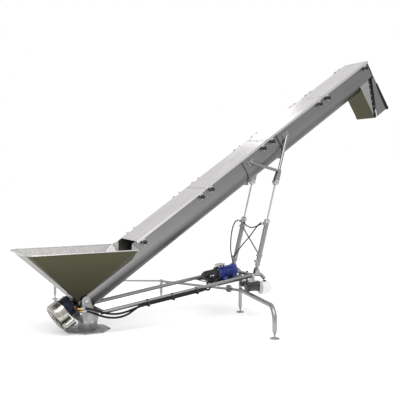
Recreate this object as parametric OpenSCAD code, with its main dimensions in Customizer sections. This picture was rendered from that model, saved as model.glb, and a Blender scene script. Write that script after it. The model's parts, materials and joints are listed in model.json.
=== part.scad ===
// Inclined grain auger: trough, hopper, drive, lift frame and power packs.
// X runs toward the discharge, Y toward the far side, Z up. Millimetres.
// The origin is the centre of the base plate where it stands on the ground.

/* [Conveyor] */
// Slope of the trough at rest, in degrees
incline = 34; // [33:0.5:35]
// Outside radius of the round trough bottom
trough_r = 190; // [188:1:192]
// Height of the trough walls above the auger axis
wall_n = 140; // [138:1:142]
// Thickness of the trough and chute sheet
sheet = 4; // [3:0.5:5]
// Length of the trough under the lids
lid_run = 3885; // [3800:5:3950]
// Length of each of the three full lids
lid_step = 1000; // [980:5:1010]
// Pitch of the auger flight
flight_pitch = 300; // [260:10:340]
// Outside radius of the auger flight
flight_r = 140; // [136:1:141]
// Drop of the auger axis below the centre of the trough bottom
axis_drop = 42; // [40:1:44]

/* [Hopper] */
// Height of the hopper rim above the ground
rim_z = 861; // [850:1:870]
// Half of the hopper width at the rim
rim_half = 353; // [330:1:370]
// X of the low end of the rim
rim_low_x = -735; // [-760:5:-700]
// X of the upright end wall of the hopper
rim_high_x = 440; // [430:1:445]
// Corner radius at the low end of the rim
rim_round = 120; // [80:5:150]

/* [Frame] */
// Width of the octagonal base plate across its flats
base_w = 460; // [440:5:500]
// Bolt circle diameter of the base plate
base_pcd = 380; // [360:5:400]
// Slope of the long frame tubes, in degrees
tube_slope = 8; // [7.5:0.5:8.5]
// Radius of the long frame tubes
tube_r = 21; // [20:0.5:22]
// Sideways distance of the long tubes and lift cylinders from the middle
tube_y = 250; // [248:1:252]
// X and Y of the near outrigger foot
near_foot = [1513, -1290]; // [-1300:1:1600]
// X and Y of the far outrigger foot
far_foot = [1500, 1290]; // [1200:1:1600]
// X and Y of the side stay foot
side_foot = [237, 1891]; // [200:1:1950]
// Radius of the round foot plates
foot_r = 52; // [45:1:60]

/* [Lift cylinders] */
// Height of the lower cylinder pins
cyl_z = 545; // [543:1:548]
// Radius of the cylinder barrels
barrel_r = 27.5; // [26:0.5:29]
// Radius of the piston rods
rod_r = 12; // [10:0.5:12]

/* [Hidden] */
$fn = 64;

// Axis point under the low end of the lids, and the pivot of the conveyor
mouth_x = 555;
mouth_z = 817;
pivot_x = -85;
pivot_z = 350;
pivot_s = (pivot_x - mouth_x) * cos(incline) + (pivot_z - mouth_z) * sin(incline);
pivot_n = (pivot_z - mouth_z) * cos(incline) - (pivot_x - mouth_x) * sin(incline);
pivot_r = 15;
cheek_in = 214;
cheek_out = 229;

// Stations along the auger axis
low_s = -856;
plate_t = 8;
high_s = lid_run;
outlet_s = 3645;
chute_n = -557;
chute_half = 168;
lid_half = 221;
lid_n = wall_n + 0.3;
lid_t = 3;
lid_s = [0, lid_step, 2 * lid_step, 3 * lid_step, lid_run];
hinge_y = 222;
hinge_n = 142;
hinge_pin_r = 4;
run_gap = 0.05;
knob_inset = 75;
knob_n = 75;
knob_s = [for (k = [0 : 3]) each [lid_s[k] + knob_inset, lid_s[k + 1] - knob_inset]];
hood_hinge_s = 3903;
hood_hinge_n = 128;
journal_r = 20;
low_bearing_s = low_s - plate_t - 26;
shaft_r = 30;

// Lift linkage: lug on the trough, lower pin on the frame
lug_s = 1822;
lug_n = -336;
lug_x = mouth_x + lug_s * cos(incline) - lug_n * sin(incline);
lug_z = mouth_z + lug_s * sin(incline) + lug_n * cos(incline);
cyl_x = 1990;
cyl_run = norm([lug_x - cyl_x, lug_z - cyl_z]);
cyl_lean = atan2(lug_x - cyl_x, lug_z - cyl_z);
pin_r = 9;

// Long frame tubes
tube_x = 132;
tube_z = 228;
tube_start_x = 62;
tube_bend_x = 1960;
front_x = 90;
cross_x = 1926;
cross_r = tube_r - 0.8;
function tube_height(x) = tube_z + (x - tube_x) * tan(tube_slope);
arm_z = 265;
foot_screw_r = 9;
foot_t = 8;
clearance = 0.05;
weld = 0.6;

steel = "lightgray";
dark_steel = "dimgray";
rubber = [0.07, 0.07, 0.07];

// ---- shared shapes ----

module on_conveyor() translate([mouth_x, 0, mouth_z]) rotate([0, -incline, 0]) children();

// The frame of a lift cylinder: its axis is z, its lower pin is the origin
module on_cylinder(side) translate([cyl_x, side * tube_y, cyl_z]) rotate([0, cyl_lean, 0]) children();

// The frame of the long tubes: u runs up the slope, w stands on it
module on_tubes() translate([tube_x, 0, tube_z]) rotate([0, -tube_slope, 0]) children();

// A round bar between two points
module rod(a, b, r) {
    v = b - a;
    length = norm(v);
    translate(a) rotate([0, acos(v[2] / length), atan2(v[1], v[0])]) cylinder(r = r, h = length);
}

// A round bar along Y at a place given by its other two coordinates
module bar_y(p, r, y0, y1) translate([p[0], y1, p[1]]) rotate([90, 0, 0]) cylinder(r = r, h = y1 - y0);

// A round bar along X
module bar_x(x0, x1, r, y, z) translate([x0, y, z]) rotate([0, 90, 0]) cylinder(r = r, h = x1 - x0);

// A flat outline in the X-Z plane given a thickness along Y
module plate_y(y0, y1) translate([0, y1, 0]) rotate([90, 0, 0]) linear_extrude(y1 - y0) children();

// A flat outline in the Y-Z plane given a thickness along X
module plate_x(x0, x1) translate([x0, 0, 0]) rotate([90, 0, 90]) linear_extrude(x1 - x0) children();

// The cross-section of the trough
module u_outline(r, top) {
    difference() {
        circle(r = r, $fn = 96);
        translate([-r, 0]) square([2 * r, r]);
    }
    translate([-r, 0]) square([2 * r, top]);
}

// A smooth curve through hand-chosen points
function curve_point(a, b, c, d, t) =
    0.5 * (2 * b + (c - a) * t + (2 * a - 5 * b + 4 * c - d) * t * t + (3 * b - a - 3 * c + d) * t * t * t);
function smooth(p, steps) = [
    for (i = [0 : len(p) - 2]) for (j = [0 : steps - 1])
        curve_point(p[max(i - 1, 0)], p[i], p[i + 1], p[min(i + 2, len(p) - 1)], j / steps),
    p[len(p) - 1]];

// A tube swept along a route, with rings square to it
module hose(route, r, steps = 3, up = [0, 0, 1], sides = 10) {
    p = smooth(route, steps);
    n = len(p);
    function along(i) = p[min(i + 1, n - 1)] - p[max(i - 1, 0)];
    function unit(v) = v / norm(v);
    points = [for (i = [0 : n - 1])
        let (side = unit(cross(along(i), up)), top = unit(cross(side, along(i))))
        for (k = [0 : sides - 1])
            p[i] + r * (cos(k * 360 / sides) * side + sin(k * 360 / sides) * top)];
    walls = [for (i = [0 : n - 2]) for (k = [0 : sides - 1])
        let (a = i * sides + k, b = i * sides + (k + 1) % sides)
        each [[a, b, b + sides], [a, b + sides, a + sides]]];
    ends = [[for (k = [sides - 1 : -1 : 0]) k], [for (k = [0 : sides - 1]) (n - 1) * sides + k]];
    polyhedron(points, concat(walls, ends));
}

// ---- base and frame ----

module base_plate() {
    flat = base_w / 2;
    color(dark_steel) difference() {
        rotate(22.5) cylinder(r = flat / cos(22.5), h = 12, $fn = 8);
        for (a = [45 : 90 : 315]) rotate(a) translate([base_pcd / 2, 0, -1]) cylinder(r = 9, h = 14);
    }
}

module cheek_outline() {
    polygon([[-112, 112], [0, 112], [0, 240], [-42, 360], [-128, 360], [-130, 240]]);
    translate([pivot_x, pivot_z]) circle(r = 45);
}

module pedestal() color(dark_steel) difference() {
    union() {
        translate([-75, -75, 12]) cube([150, 150, 101]);
        translate([-112, -cheek_out, 112]) cube([112, 2 * cheek_out, 14]);
        for (y = [-cheek_out, cheek_in]) plate_y(y, y + cheek_out - cheek_in) cheek_outline();
        // arms that carry the front crossbar
        for (y = [-84, 74]) plate_y(y, y + 10)
            polygon([[10, 40], [75, 20], [112, 200], [106, 236], [76, 230], [20, 124]]);
        bar_y([front_x, tube_height(front_x)], tube_r, -tube_y, tube_y);
    }
    bar_y([pivot_x, pivot_z], pivot_r + clearance, -300, 300);
    for (side = [-1, 1]) straight_tube(side, 1);
}

// The sloping run of a long tube; grow lengthens it for use as a cutter
module straight_tube(side, grow = 0) {
    a = [tube_start_x - 40 * grow, side * tube_y, tube_height(tube_start_x - 40 * grow)];
    b = [tube_bend_x + 40 * grow, side * tube_y, tube_height(tube_bend_x + 40 * grow)];
    rod(a, b, tube_r);
}

// One long tube: sloping run, rear bend and the clevis for the lift cylinder
module frame_tube(side) color(steel) {
    bend = [tube_bend_x, side * tube_y, tube_height(tube_bend_x)];
    crest = [2045, side * tube_y, 480];
    tail = [2098, side * tube_y, 430];
    union() {
        straight_tube(side);
        rod(bend, crest, tube_r);
        rod(crest, tail, tube_r);
        for (p = [bend, crest]) translate(p) sphere(r = tube_r + weld);
        for (y = [-23, 15]) plate_y(side * tube_y + y, side * tube_y + y + 8) {
            translate([cyl_x, cyl_z]) circle(r = 24);
            polygon([[cyl_x - 40, 476], [cyl_x + 44, 476], [cyl_x + 24, cyl_z], [cyl_x - 24, cyl_z]]);
        }
        bar_y([cyl_x, cyl_z], pin_r, side * tube_y - 34, side * tube_y + 34);
        for (y = [-34, 27]) bar_y([cyl_x, cyl_z], 14, side * tube_y + y, side * tube_y + y + 7);
    }
}
module near_frame_tube() frame_tube(-1);
module far_frame_tube() frame_tube(1);

module rear_crossbar() color(steel) difference() {
    bar_y([cross_x, tube_height(cross_x)], cross_r, -tube_y + 3, tube_y - 3);
    for (side = [-1, 1]) straight_tube(side, 1);
}

// A leg tube with the bore for its foot screw
module leg(p, top, r) difference() {
    translate([p[0], p[1], 70]) cylinder(r = r, h = top - 70);
    foot_bore(p);
}
module foot_bore(p) translate([p[0], p[1], 60]) cylinder(r = foot_screw_r + clearance, h = 100);

module mast_tube() translate([cross_x, 0, 70]) cylinder(r = tube_r, h = 430);

module centre_leg() color(steel) difference() {
    mast_tube();
    foot_bore([cross_x, 0]);
    bar_y([cross_x, tube_height(cross_x)], cross_r, -100, 100);
    translate([cross_x - 30, -30, tube_height(cross_x)]) cube([60, 60, 60]);
}

// The near arm: straight run, quarter bend and leg, in its own upright plane
module near_outrigger() {
    run = norm(near_foot - [cross_x, 0]);
    turn = atan2(near_foot[1], near_foot[0] - cross_x);
    bend_r = 150;
    rise = 2.2;
    arm_r = 24;
    corner_z = 165;
    color(steel) difference() {
        union() {
            translate([cross_x, 0, 0]) rotate(turn) {
                translate([run - bend_r, 0, corner_z]) rotate([90, 0, 0])
                    rotate_extrude(angle = 90 + rise) translate([bend_r, 0]) circle(r = arm_r + weld);
                end = [run - bend_r - bend_r * sin(rise), 0, corner_z + bend_r * cos(rise)];
                inside = end + 4 * [cos(rise), 0, sin(rise)];
                rod([0, 0, end[2] - end[0] * tan(rise)], inside, arm_r);
            }
            translate([near_foot[0], near_foot[1], 70]) cylinder(r = arm_r, h = corner_z - 66);
        }
        foot_bore(near_foot);
        mast_tube();
    }
}

// The far arm is a thinner tube clamped beside the mast, with a plain leg
module far_outrigger() {
    far_z = 228;
    clamp = [cross_x, 0, arm_z] + 0.13 * [far_foot[0] - cross_x, far_foot[1], 0];
    color(steel) difference() {
        union() {
            rod([cross_x, 0, arm_z], [far_foot[0], far_foot[1], far_z], 15);
            leg(far_foot, far_z + 22, 20);
            translate(clamp) rotate(atan2(far_foot[1], far_foot[0] - cross_x)) rotate([45, 0, 0])
                cube([64, 62, 62], center = true);
        }
        foot_bore(far_foot);
        mast_tube();
    }
}

module side_stay() color(steel) difference() {
    union() {
        rod([far_foot[0], far_foot[1], 234], [side_foot[0], side_foot[1], 250], 12);
        leg(side_foot, 266, 19);
    }
    foot_bore(side_foot);
    translate([far_foot[0], far_foot[1], 60]) cylinder(r = 20, h = 300);
}

// A levelling foot: screw, lock nut and round plate
module foot_screw(p, plate_r) color(dark_steel) translate([p[0], p[1], 0]) {
    cylinder(r = plate_r, h = foot_t);
    cylinder(r = 20, h = 16);
    cylinder(r = foot_screw_r, h = 148);
    translate([0, 0, 50]) cylinder(r = 16, h = 12, $fn = 6);
}
module near_foot_screw() foot_screw(near_foot, foot_r);
module far_foot_screw() foot_screw(far_foot, foot_r);
module centre_foot_screw() foot_screw([cross_x, 0], foot_r - 6);
module side_foot_screw() foot_screw(side_foot, foot_r - 8);

// ---- power packs and valve ----

tray_top = -21.3;
pump_w = 57;

module pack_tray() color(dark_steel) on_tubes() {
    difference() {
        translate([1340, -262, tray_top - 6]) cube([440, 524, 6]);
        for (u = [1360, 1580], y = [-190, 95]) translate([u, y, tray_top - 8]) cube([170, 95, 10]);
    }
    for (u = [1350, 1770], y = [-1, 1]) translate([u, y * 225, tray_top - 0.3]) cylinder(r = 5, h = 12);
}

module drive_pump_motor() on_tubes() {
    color("navy") {
        bar_x(1492, 1725, 74, 0, pump_w);
        bar_x(1725, 1745, 64, 0, pump_w);
        for (u = [1530, 1660]) translate([u, -85, tray_top]) cube([40, 170, 40]);
    }
    color(steel) translate([1500, -48, pump_w + 62]) cube([82, 96, 42]);
}

module drive_pump() color(dark_steel) on_tubes() {
    bar_x(1478, 1492, 77, 0, pump_w);
    bar_x(1330, 1478, 58, 0, pump_w);
    bar_x(1300, 1330, 44, 0, pump_w);
    translate([1345, -78, pump_w - 20]) cube([60, 40, 40]);
    translate([1380, -50, tray_top]) cube([30, 100, 40]);
}

pack_y = -400;
pack_z = 374;

module lift_pack_motor() color("black") bar_x(1748, 1903, 55, pack_y, pack_z);

module lift_pack_manifold() color(steel) difference() {
    union() {
        translate([1903, pack_y - 56, pack_z - 56]) cube([36, 112, 112]);
        translate([1906, -352, pack_z + 20]) cube([30, 140, 30]);
        translate([1906, -290, pack_z + 20]) cube([30, 61, 100]);
    }
    straight_tube(-1, 1);
    bar_y([cross_x, tube_height(cross_x)], cross_r, -260, 260);
    translate([1900, -tube_y - 21, pack_z + 96]) cube([50, 42, 60]);
}

module lift_tank() color("white") bar_x(1939, 2055, 74, pack_y, pack_z - 22);

module valve_block() color(dark_steel) difference() {
    union() {
        translate([1890, -108, 326]) cube([100, 60, 54]);
        translate([1908, -50, 334]) cube([36, 44, 30]);
        for (x = [1955, 1979]) plate_x(x, x + 6) {
            translate([-78, 398]) circle(r = 10);
            translate([-88, 378]) square([20, 20]);
        }
        bar_x(1955, 1985, hinge_pin_r, -78, 398);
    }
    mast_tube();
}

module valve_lever() color(dark_steel) difference() {
    union() {
        bar_x(1962.5, 1977.5, 10, -78, 398);
        translate([1970, -78, 404]) cylinder(r = 5, h = 86);
        translate([1970, -78, 494]) sphere(r = 13);
    }
    bar_x(1950, 1990, hinge_pin_r + run_gap, -78, 398);
}

// ---- conveyor ----

module trough() color(steel) difference() {
    on_conveyor() union() {
        plate_x(low_s, high_s) difference() {
            union() {
                u_outline(trough_r, wall_n);
                translate([-212, wall_n - sheet]) square([424, sheet]);
            }
            u_outline(trough_r - sheet, wall_n + 1);
        }
        for (s = knob_s) difference() {
            bar_y([s, knob_n], 11, -213.5, -trough_r + 1);
            bar_y([s, knob_n], 6 + run_gap, -220, -192);
        }
        for (side = [-1, 1]) difference() {
            union() {
                bar_y([pivot_s, pivot_n], 28, side < 0 ? -212 : 178, side < 0 ? -178 : 212);
                bar_y([pivot_s, pivot_n], pivot_r, side < 0 ? -238 : 200, side < 0 ? -200 : 238);
            }
            plate_x(low_s - 50, 0) circle(r = trough_r - 1, $fn = 96);
        }
    }
    // walls are cut away under the hopper, up to its end wall
    intersection() {
        on_conveyor() translate([-2000, -300, 0]) cube([3000, 600, 400]);
        translate([-1500, -400, 0]) cube([1500 + rim_high_x, 800, 2000]);
    }
    on_conveyor() translate([outlet_s, -chute_half + sheet, -300]) cube([225, 2 * (chute_half - sheet), 215]);
}

module end_plates() color(steel) on_conveyor() {
    difference() {
        plate_x(low_s - plate_t, low_s) circle(r = 196, $fn = 96);
        bar_x(low_s - 20, low_s + 10, 26, 0, -axis_drop);
        translate([low_s - 20, -250, 0]) cube([40, 500, 300]);
    }
    difference() {
        plate_x(high_s, high_s + plate_t) u_outline(196, wall_n - 2);
        bar_x(high_s - 20, high_s + 20, 26, 0, -axis_drop);
    }
}

module trough_saddle() color(steel) on_conveyor() difference() {
    union() {
        for (s = [1584, 2164]) plate_x(s, s + 12) {
            circle(r = 207, $fn = 96);
            translate([-207, 0]) square([414, wall_n - sheet]);
            translate([-60, -216]) square([120, 60]);
        }
        plate_x(1596, 2164) circle(r = 194, $fn = 96);
    }
    plate_x(1500, 2300) u_outline(trough_r, 300);
    translate([1596.1, -300, -20]) cube([567.8, 600, 500]);
}

// One bracket: two tubes from the trough wall to a slotted clevis
module lift_bracket(side) {
    meet = [1934, side * tube_y, -250];
    wall = side * (trough_r + 20);
    pad = side < 0 ? -trough_r - 7 : trough_r;
    low = [1690, wall, 30];
    high = [2290, wall, 18];
    difference() {
        union() {
            rod(low, meet, 17);
            rod(high, meet, 17);
            translate(meet) sphere(r = 21);
            for (p = [low, high]) {
                translate(p) sphere(r = 17 + weld);
                translate([p[0] - 45, pad, 2]) cube([90, 7, 62]);
            }
            for (y = [-22, 14]) plate_y(side * tube_y + y, side * tube_y + y + 8) {
                translate([lug_s, lug_n]) circle(r = 32);
                translate([meet[0], meet[2]]) circle(r = 22);
                polygon([[lug_s - 19, lug_n + 26], [meet[0] - 15, meet[2] + 17],
                    [meet[0] + 13, meet[2] - 18], [lug_s + 18, lug_n - 26]]);
            }
            bar_y([meet[0] - 22, meet[2] - 17], 10, side * tube_y - 20, side * tube_y + 20);
        }
        bar_y([lug_s, lug_n], 18, side * tube_y - 40, side * tube_y + 40);
        plate_x(1500, 2400) u_outline(trough_r, 300);
    }
}
module lift_brackets() color(steel) on_conveyor() {
    lift_bracket(-1);
    lift_bracket(1);
}

// The rim seen from above, shrunk by inset
module rim_outline(inset) hull() {
    for (side = [-1, 1]) {
        translate([rim_low_x + rim_round, side * (rim_half - rim_round)])
            circle(r = rim_round - inset, $fn = 32);
        translate([rim_high_x - 6 - inset, side * (rim_half - 6 - inset)]) circle(r = 6, $fn = 16);
    }
}

// Solid from the rim down to the slot on the trough; inset makes the inner one
module hopper_form(inset) hull() {
    translate([0, 0, rim_z - (inset > 0 ? 0 : 1)]) linear_extrude(1) rim_outline(inset);
    slot_low = low_s + inset;
    slot_high = (rim_high_x - inset - mouth_x) / cos(incline);
    on_conveyor() translate([slot_low, -trough_r + inset, inset > 0 ? -1 : 0])
        cube([slot_high - slot_low, 2 * (trough_r - inset), 1]);
}

module hopper() color("darkkhaki") difference() {
    union() {
        difference() {
            hopper_form(0);
            hopper_form(sheet);
        }
        // rolled rim bar
        translate([0, 0, rim_z - 14]) linear_extrude(14.3) intersection() {
            difference() {
                rim_outline(-7);
                rim_outline(3.1);
            }
            translate([-1000, -500]) square([1000 + rim_high_x - 0.7, 1000]);
        }
        // gussets up to the lidded trough
        for (side = [-1, 1]) plate_x(rim_high_x - sheet, rim_high_x)
            polygon([[side * 192, rim_z - 4], [side * 345, rim_z - 4], [side * 192, 905]]);
    }
    on_conveyor() plate_x(-600, 400) u_outline(trough_r - sheet, 500);
    on_conveyor() bar_x(low_s - 60, low_s + 20, 26, 0, -axis_drop);
}

module discharge_chute() color(steel) on_conveyor() difference() {
    union() {
        translate([outlet_s - sheet, -chute_half, chute_n]) cube([sheet, 2 * chute_half, 480]);
        for (y = [-chute_half, chute_half - sheet]) plate_y(y, y + sheet)
            polygon([[outlet_s - sheet, -60], [3848, -60], [outlet_s - sheet, chute_n]]);
    }
    plate_x(3500, 4000) circle(r = trough_r, $fn = 96);
}

module chute_seals() color(rubber) on_conveyor() difference() {
    for (y = [-chute_half - 4, chute_half]) plate_y(y, y + 4)
        polygon([[3816, -80], [3850, -80], [3668, chute_n], [outlet_s - sheet, chute_n], [outlet_s - sheet, -525]]);
    plate_x(3500, 4000) circle(r = trough_r, $fn = 96);
}

// Outer bearing below the lower end plate, inner one inside the upper plate
module bearing_housings() color(dark_steel) on_conveyor() {
    difference() {
        union() {
            bar_x(low_bearing_s, low_s - plate_t - 6, 42, 0, -axis_drop);
            bar_x(low_bearing_s, low_s - plate_t, 28, 0, -axis_drop);
        }
        bar_x(low_bearing_s - 1, low_s, journal_r + clearance, 0, -axis_drop);
    }
    difference() {
        bar_x(high_s - 22, high_s, 56, 0, -axis_drop);
        bar_x(high_s - 23, high_s + 1, journal_r + clearance, 0, -axis_drop);
    }
}

module drive_motor() color("midnightblue") on_conveyor() difference() {
    union() {
        bar_x(-996, low_bearing_s, 104, 0, -30);
        for (s = [-990 : 18 : -918]) bar_x(s, s + 8, 116, 0, -30);
        translate([-922, -134, -88]) cube([34, 70, 66]);
    }
    bar_x(-914, -880, 26, 0, -axis_drop);
}

module gearbox() color("gainsboro") on_conveyor() {
    bar_x(-1130, -1008, 145, 0, -45);
    bar_x(-1008, -996, 152, 0, -45);
    bar_x(-1120, -1003, 40, -172, -125);
    plate_x(-1008, -996) polygon([[-120, -20], [-205, -100], [-212, -140], [-180, -172], [-100, -150]]);
}

module brass_fittings() color("gold") on_conveyor() for (n = [-38, -72]) {
    bar_y([-905, n], 11, -246, -134);
    bar_y([-905, n], 14, -168, -150);
    translate([-905, -246, n]) sphere(r = 11.5);
    translate([-905, -246, n]) rotate([0, incline, 0]) bar_x(0, 26, 11, 0, 0);
}

lid_knuckle = 150;

module lid_hinges() color(dark_steel) on_conveyor() {
    for (k = [0 : 3], s = [lid_s[k] + lid_knuckle, lid_s[k + 1] - lid_knuckle]) {
        bar_x(s - 58, s + 58, hinge_pin_r, hinge_y, hinge_n);
        for (d = [-58, 31]) {
            bar_x(s + d, s + d + 27, 8, hinge_y, hinge_n);
            translate([s + d, 200, wall_n - sheet - 4]) cube([27, 22, 4]);
        }
    }
    // hinge of the discharge hood
    bar_y([hood_hinge_s, hood_hinge_n], hinge_pin_r, -150, 150);
    for (y = [-150, -69, 41, 122]) {
        bar_y([hood_hinge_s, hood_hinge_n], 8, y, y + 28);
        translate([high_s + plate_t, y, hood_hinge_n - 5]) cube([12, 28, 9]);
    }
}

module lid(k) {
    s0 = lid_s[k] + 2;
    s1 = lid_s[k + 1] - 2;
    knuckles = [lid_s[k] + lid_knuckle, lid_s[k + 1] - lid_knuckle];
    color("whitesmoke") on_conveyor() difference() {
        union() {
            translate([s0, -lid_half, lid_n]) cube([s1 - s0, lid_half + 209, lid_t]);
            translate([s0, -lid_half, lid_n - 24]) cube([s1 - s0, lid_t, 24 + lid_t]);
            for (s = [knob_s[2 * k], knob_s[2 * k + 1]]) plate_y(-lid_half, -lid_half + lid_t) difference() {
                translate([s - 20, 45]) square([40, lid_n - 45]);
                translate([s - 8, 40]) square([16, knob_n - 40]);
                translate([s, knob_n]) circle(r = 8);
            }
            for (s = knuckles) {
                bar_x(s - 30, s + 30, 8, hinge_y, hinge_n);
                translate([s - 30, 205, lid_n]) cube([60, 17, lid_t]);
            }
        }
        for (s = knuckles) bar_x(s - 40, s + 40, hinge_pin_r + run_gap, hinge_y, hinge_n);
    }
}

// A star knob on its own stud; the stud turns in the boss on the trough
module knob(k) color(rubber) on_conveyor() {
    s = knob_s[k - 1];
    bar_y([s, knob_n], 6, -230, -193);
    bar_y([s, knob_n], 21, -250, -229);
    for (a = [0 : 72 : 288])
        bar_y([s + 19 * cos(a), knob_n + 19 * sin(a)], 8, -249, -231);
    bar_y([s, knob_n], 12, -254, -250);
}

module hood() color(steel) on_conveyor() difference() {
    union() {
        translate([3898, -179, chute_n]) cube([4, 358, 110 - chute_n]);
        for (y = [-179, 175]) plate_y(y, y + 4)
            polygon([[3898, -100], [3898, chute_n], [3676, chute_n], [3860, -100]]);
        for (y = [-121.5, 69]) {
            bar_y([hood_hinge_s, hood_hinge_n], 8, y + 1, y + 51);
            translate([3898, y + 1, 105]) cube([4, 50, 23]);
        }
    }
    bar_y([hood_hinge_s, hood_hinge_n], hinge_pin_r + run_gap, -200, 200);
}

module hood_flap() color(rubber) on_conveyor() {
    translate([3902, -183, chute_n - 12]) cube([9, 366, 372]);
    for (y = [-183, 179.3]) plate_y(y, y + 3.7)
        polygon([[3884, -198], [3903, -198], [3903, chute_n - 12], [3862, chute_n - 12]]);
    color(steel) translate([3911, -176, -222]) cube([4, 352, 30]);
}

module auger_shaft() color(dark_steel) on_conveyor() {
    bar_x(-846, 3855, shaft_r, 0, -axis_drop);
    bar_x(-908, 3884, journal_r, 0, -axis_drop);
}

// The screw flight: one ribbon with a rectangular section
module flighting() {
    steps = 20;
    turns = 14.75;
    first = -815;
    count = round(turns * steps);
    thick = 6;
    inner = shaft_r / cos(180 / steps) + 0.05;
    function ring(i) = let (a = -i * 360 / steps, s = first + i * flight_pitch / steps)
        [for (c = [[0, inner], [0, flight_r], [thick, flight_r], [thick, inner]])
            [s + c[0], c[1] * cos(a), c[1] * sin(a)]];
    points = [for (i = [0 : count]) each ring(i)];
    walls = [for (i = [0 : count - 1]) for (k = [0 : 3])
        let (a = 4 * i + k, b = 4 * i + (k + 1) % 4) each [[a, b, b + 4], [a, b + 4, a + 4]]];
    color(steel) on_conveyor() translate([0, 0, -axis_drop])
        polyhedron(points, concat(walls, [[3, 2, 1, 0], [4 * count, 4 * count + 1, 4 * count + 2, 4 * count + 3]]));
}

// ---- hoses ----

hose_r = 11;
thin_hose_r = 7;

// Two drive hoses: from the brass fittings, sagging past the pedestal, then
// under and beside the near tube and up to the pump
module supply_hose() color(rubber) hose([[-146.3, -246, 279.4], [-110, -250, 279], [-50, -264, 268],
    [30, -282, 240], [120, -293, 212], [220, -297, 200], [320, -290, 208], [420, -276, 230],
    [520, -262, 249], [700, -262, 274.5], [900, -262, 302.5], [1100, -262, 330.5], [1230, -260, 348.5],
    [1300, -235, 356], [1350, -190, 372], [1385, -150, 405], [1425, -130, 448], [1459, -122, 470],
    [1473, -103, 474], [1473, -79.2, 474]], hose_r);

module return_hose() color(rubber) hose([[-126.8, -246, 251.2], [-95, -251, 249], [-40, -272, 233],
    [40, -294, 198], [130, -305, 172], [230, -311, 165], [330, -309, 184], [420, -302, 228],
    [520, -286, 271], [700, -285, 296.5], [900, -285, 324.5], [1100, -285, 352.5], [1240, -284, 371],
    [1300, -276, 364], [1345, -250, 353], [1385, -205, 360], [1430, -174, 392], [1480, -150, 440],
    [1502, -126, 474], [1502.5, -102, 478], [1502.5, -79.2, 478]], hose_r);

// From the rear crossbar up to the gland port of the far cylinder
module lift_hose() color(rubber) hose([[1926, 130, 502.5], [1925, 131, 530], [1905, 148, 610],
    [1900, 180, 740], [1925, 214, 880], [1965, 240, 1000], [2010, 250, 1070], [2045, 250, 1085],
    [2075, 250, 1077]], thin_hose_r, 3, [0, 1, 0]);

// From the valve block down and across to the lift pack
module pack_hose() color(rubber) hose([[1920, -108.5, 352], [1920, -130, 348], [1912, -180, 322],
    [1908, -235, 306], [1908, -290, 316], [1916, -320, 350], [1921, -340, 372]], thin_hose_r);

// Two hoses tied between the cylinders: gland to gland, and gland to far base
module crossover_hoses() color(rubber) {
    hose([[2095.5, -234.2, 1072], [2094, -205, 1070], [2088, -120, 1042], [2085, -40, 1018],
        [2084, 40, 1012], [2087, 120, 1030], [2094, 205, 1068], [2095.5, 233.6, 1072]], thin_hose_r);
    hose([[2075, -250, 1077], [2048, -250, 1084], [2020, -232, 1058], [2005, -180, 1000],
        [1995, -100, 920], [1985, 0, 840], [1975, 80, 770], [1966, 150, 700], [1966, 200, 655],
        [1981, 213, 640], [1983, 233, 637]], thin_hose_r);
}

// Clips that hold both drive hoses to the near tube
module hose_clips() color(dark_steel) on_tubes() for (u = [450, 750, 1050]) difference() {
    union() {
        bar_x(u, u + 16, 25, -tube_y, 0);
        translate([u, -301, -50]) cube([16, 50, 50]);
    }
    bar_x(u - 1, u + 17, tube_r, -tube_y, 0);
    for (p = [[-262, -32.5], [-285, -10]]) bar_x(u - 1, u + 17, 12.5, p[0], p[1]);
}

// ---- lift cylinders ----

module barrel(side) color(steel) on_cylinder(side) difference() {
    union() {
        translate([0, 0, 40]) cylinder(r = barrel_r, h = 550);
        translate([0, 0, 560]) cylinder(r = 33, h = 34);
        bar_y([0, 0], 23, -14, 14);
        translate([-14, -14, 0]) cube([28, 28, 44]);
        for (z = [72, 522]) translate([-50, -14, z]) cube([40, 28, 30]);
    }
    bar_y([0, 0], pin_r + clearance, -40, 40);
    translate([0, 0, 60]) cylinder(r = 20, h = 500);
    translate([0, 0, 500]) cylinder(r = rod_r + clearance, h = 120);
}
module near_barrel() barrel(-1);
module far_barrel() barrel(1);

module barrel_brace() color(steel) difference() {
    union() {
        translate([cyl_x, 0, cyl_z]) rotate([0, cyl_lean, 0]) {
            rod([0, tube_y, 480], [0, -tube_y, 160], 9);
            translate([0, tube_y, 464]) cylinder(r = 34, h = 32);
            translate([0, -tube_y, 144]) cylinder(r = 34, h = 32);
        }
    }
    for (side = [-1, 1]) on_cylinder(side) cylinder(r = barrel_r, h = 600);
}

module piston_rod(side) color("gainsboro") on_cylinder(side) {
    translate([0, 0, 300]) cylinder(r = 20 - clearance, h = 30);
    translate([0, 0, 320]) cylinder(r = rod_r, h = cyl_run - 330);
    bar_y([0, cyl_run], 26, -12.5, 12.5);
    bar_y([0, cyl_run], 8, -32, 32);
    for (y = [-30, 24]) bar_y([0, cyl_run], 30, y, y + 6);
}
module near_rod() piston_rod(-1);
module far_rod() piston_rod(1);

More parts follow.
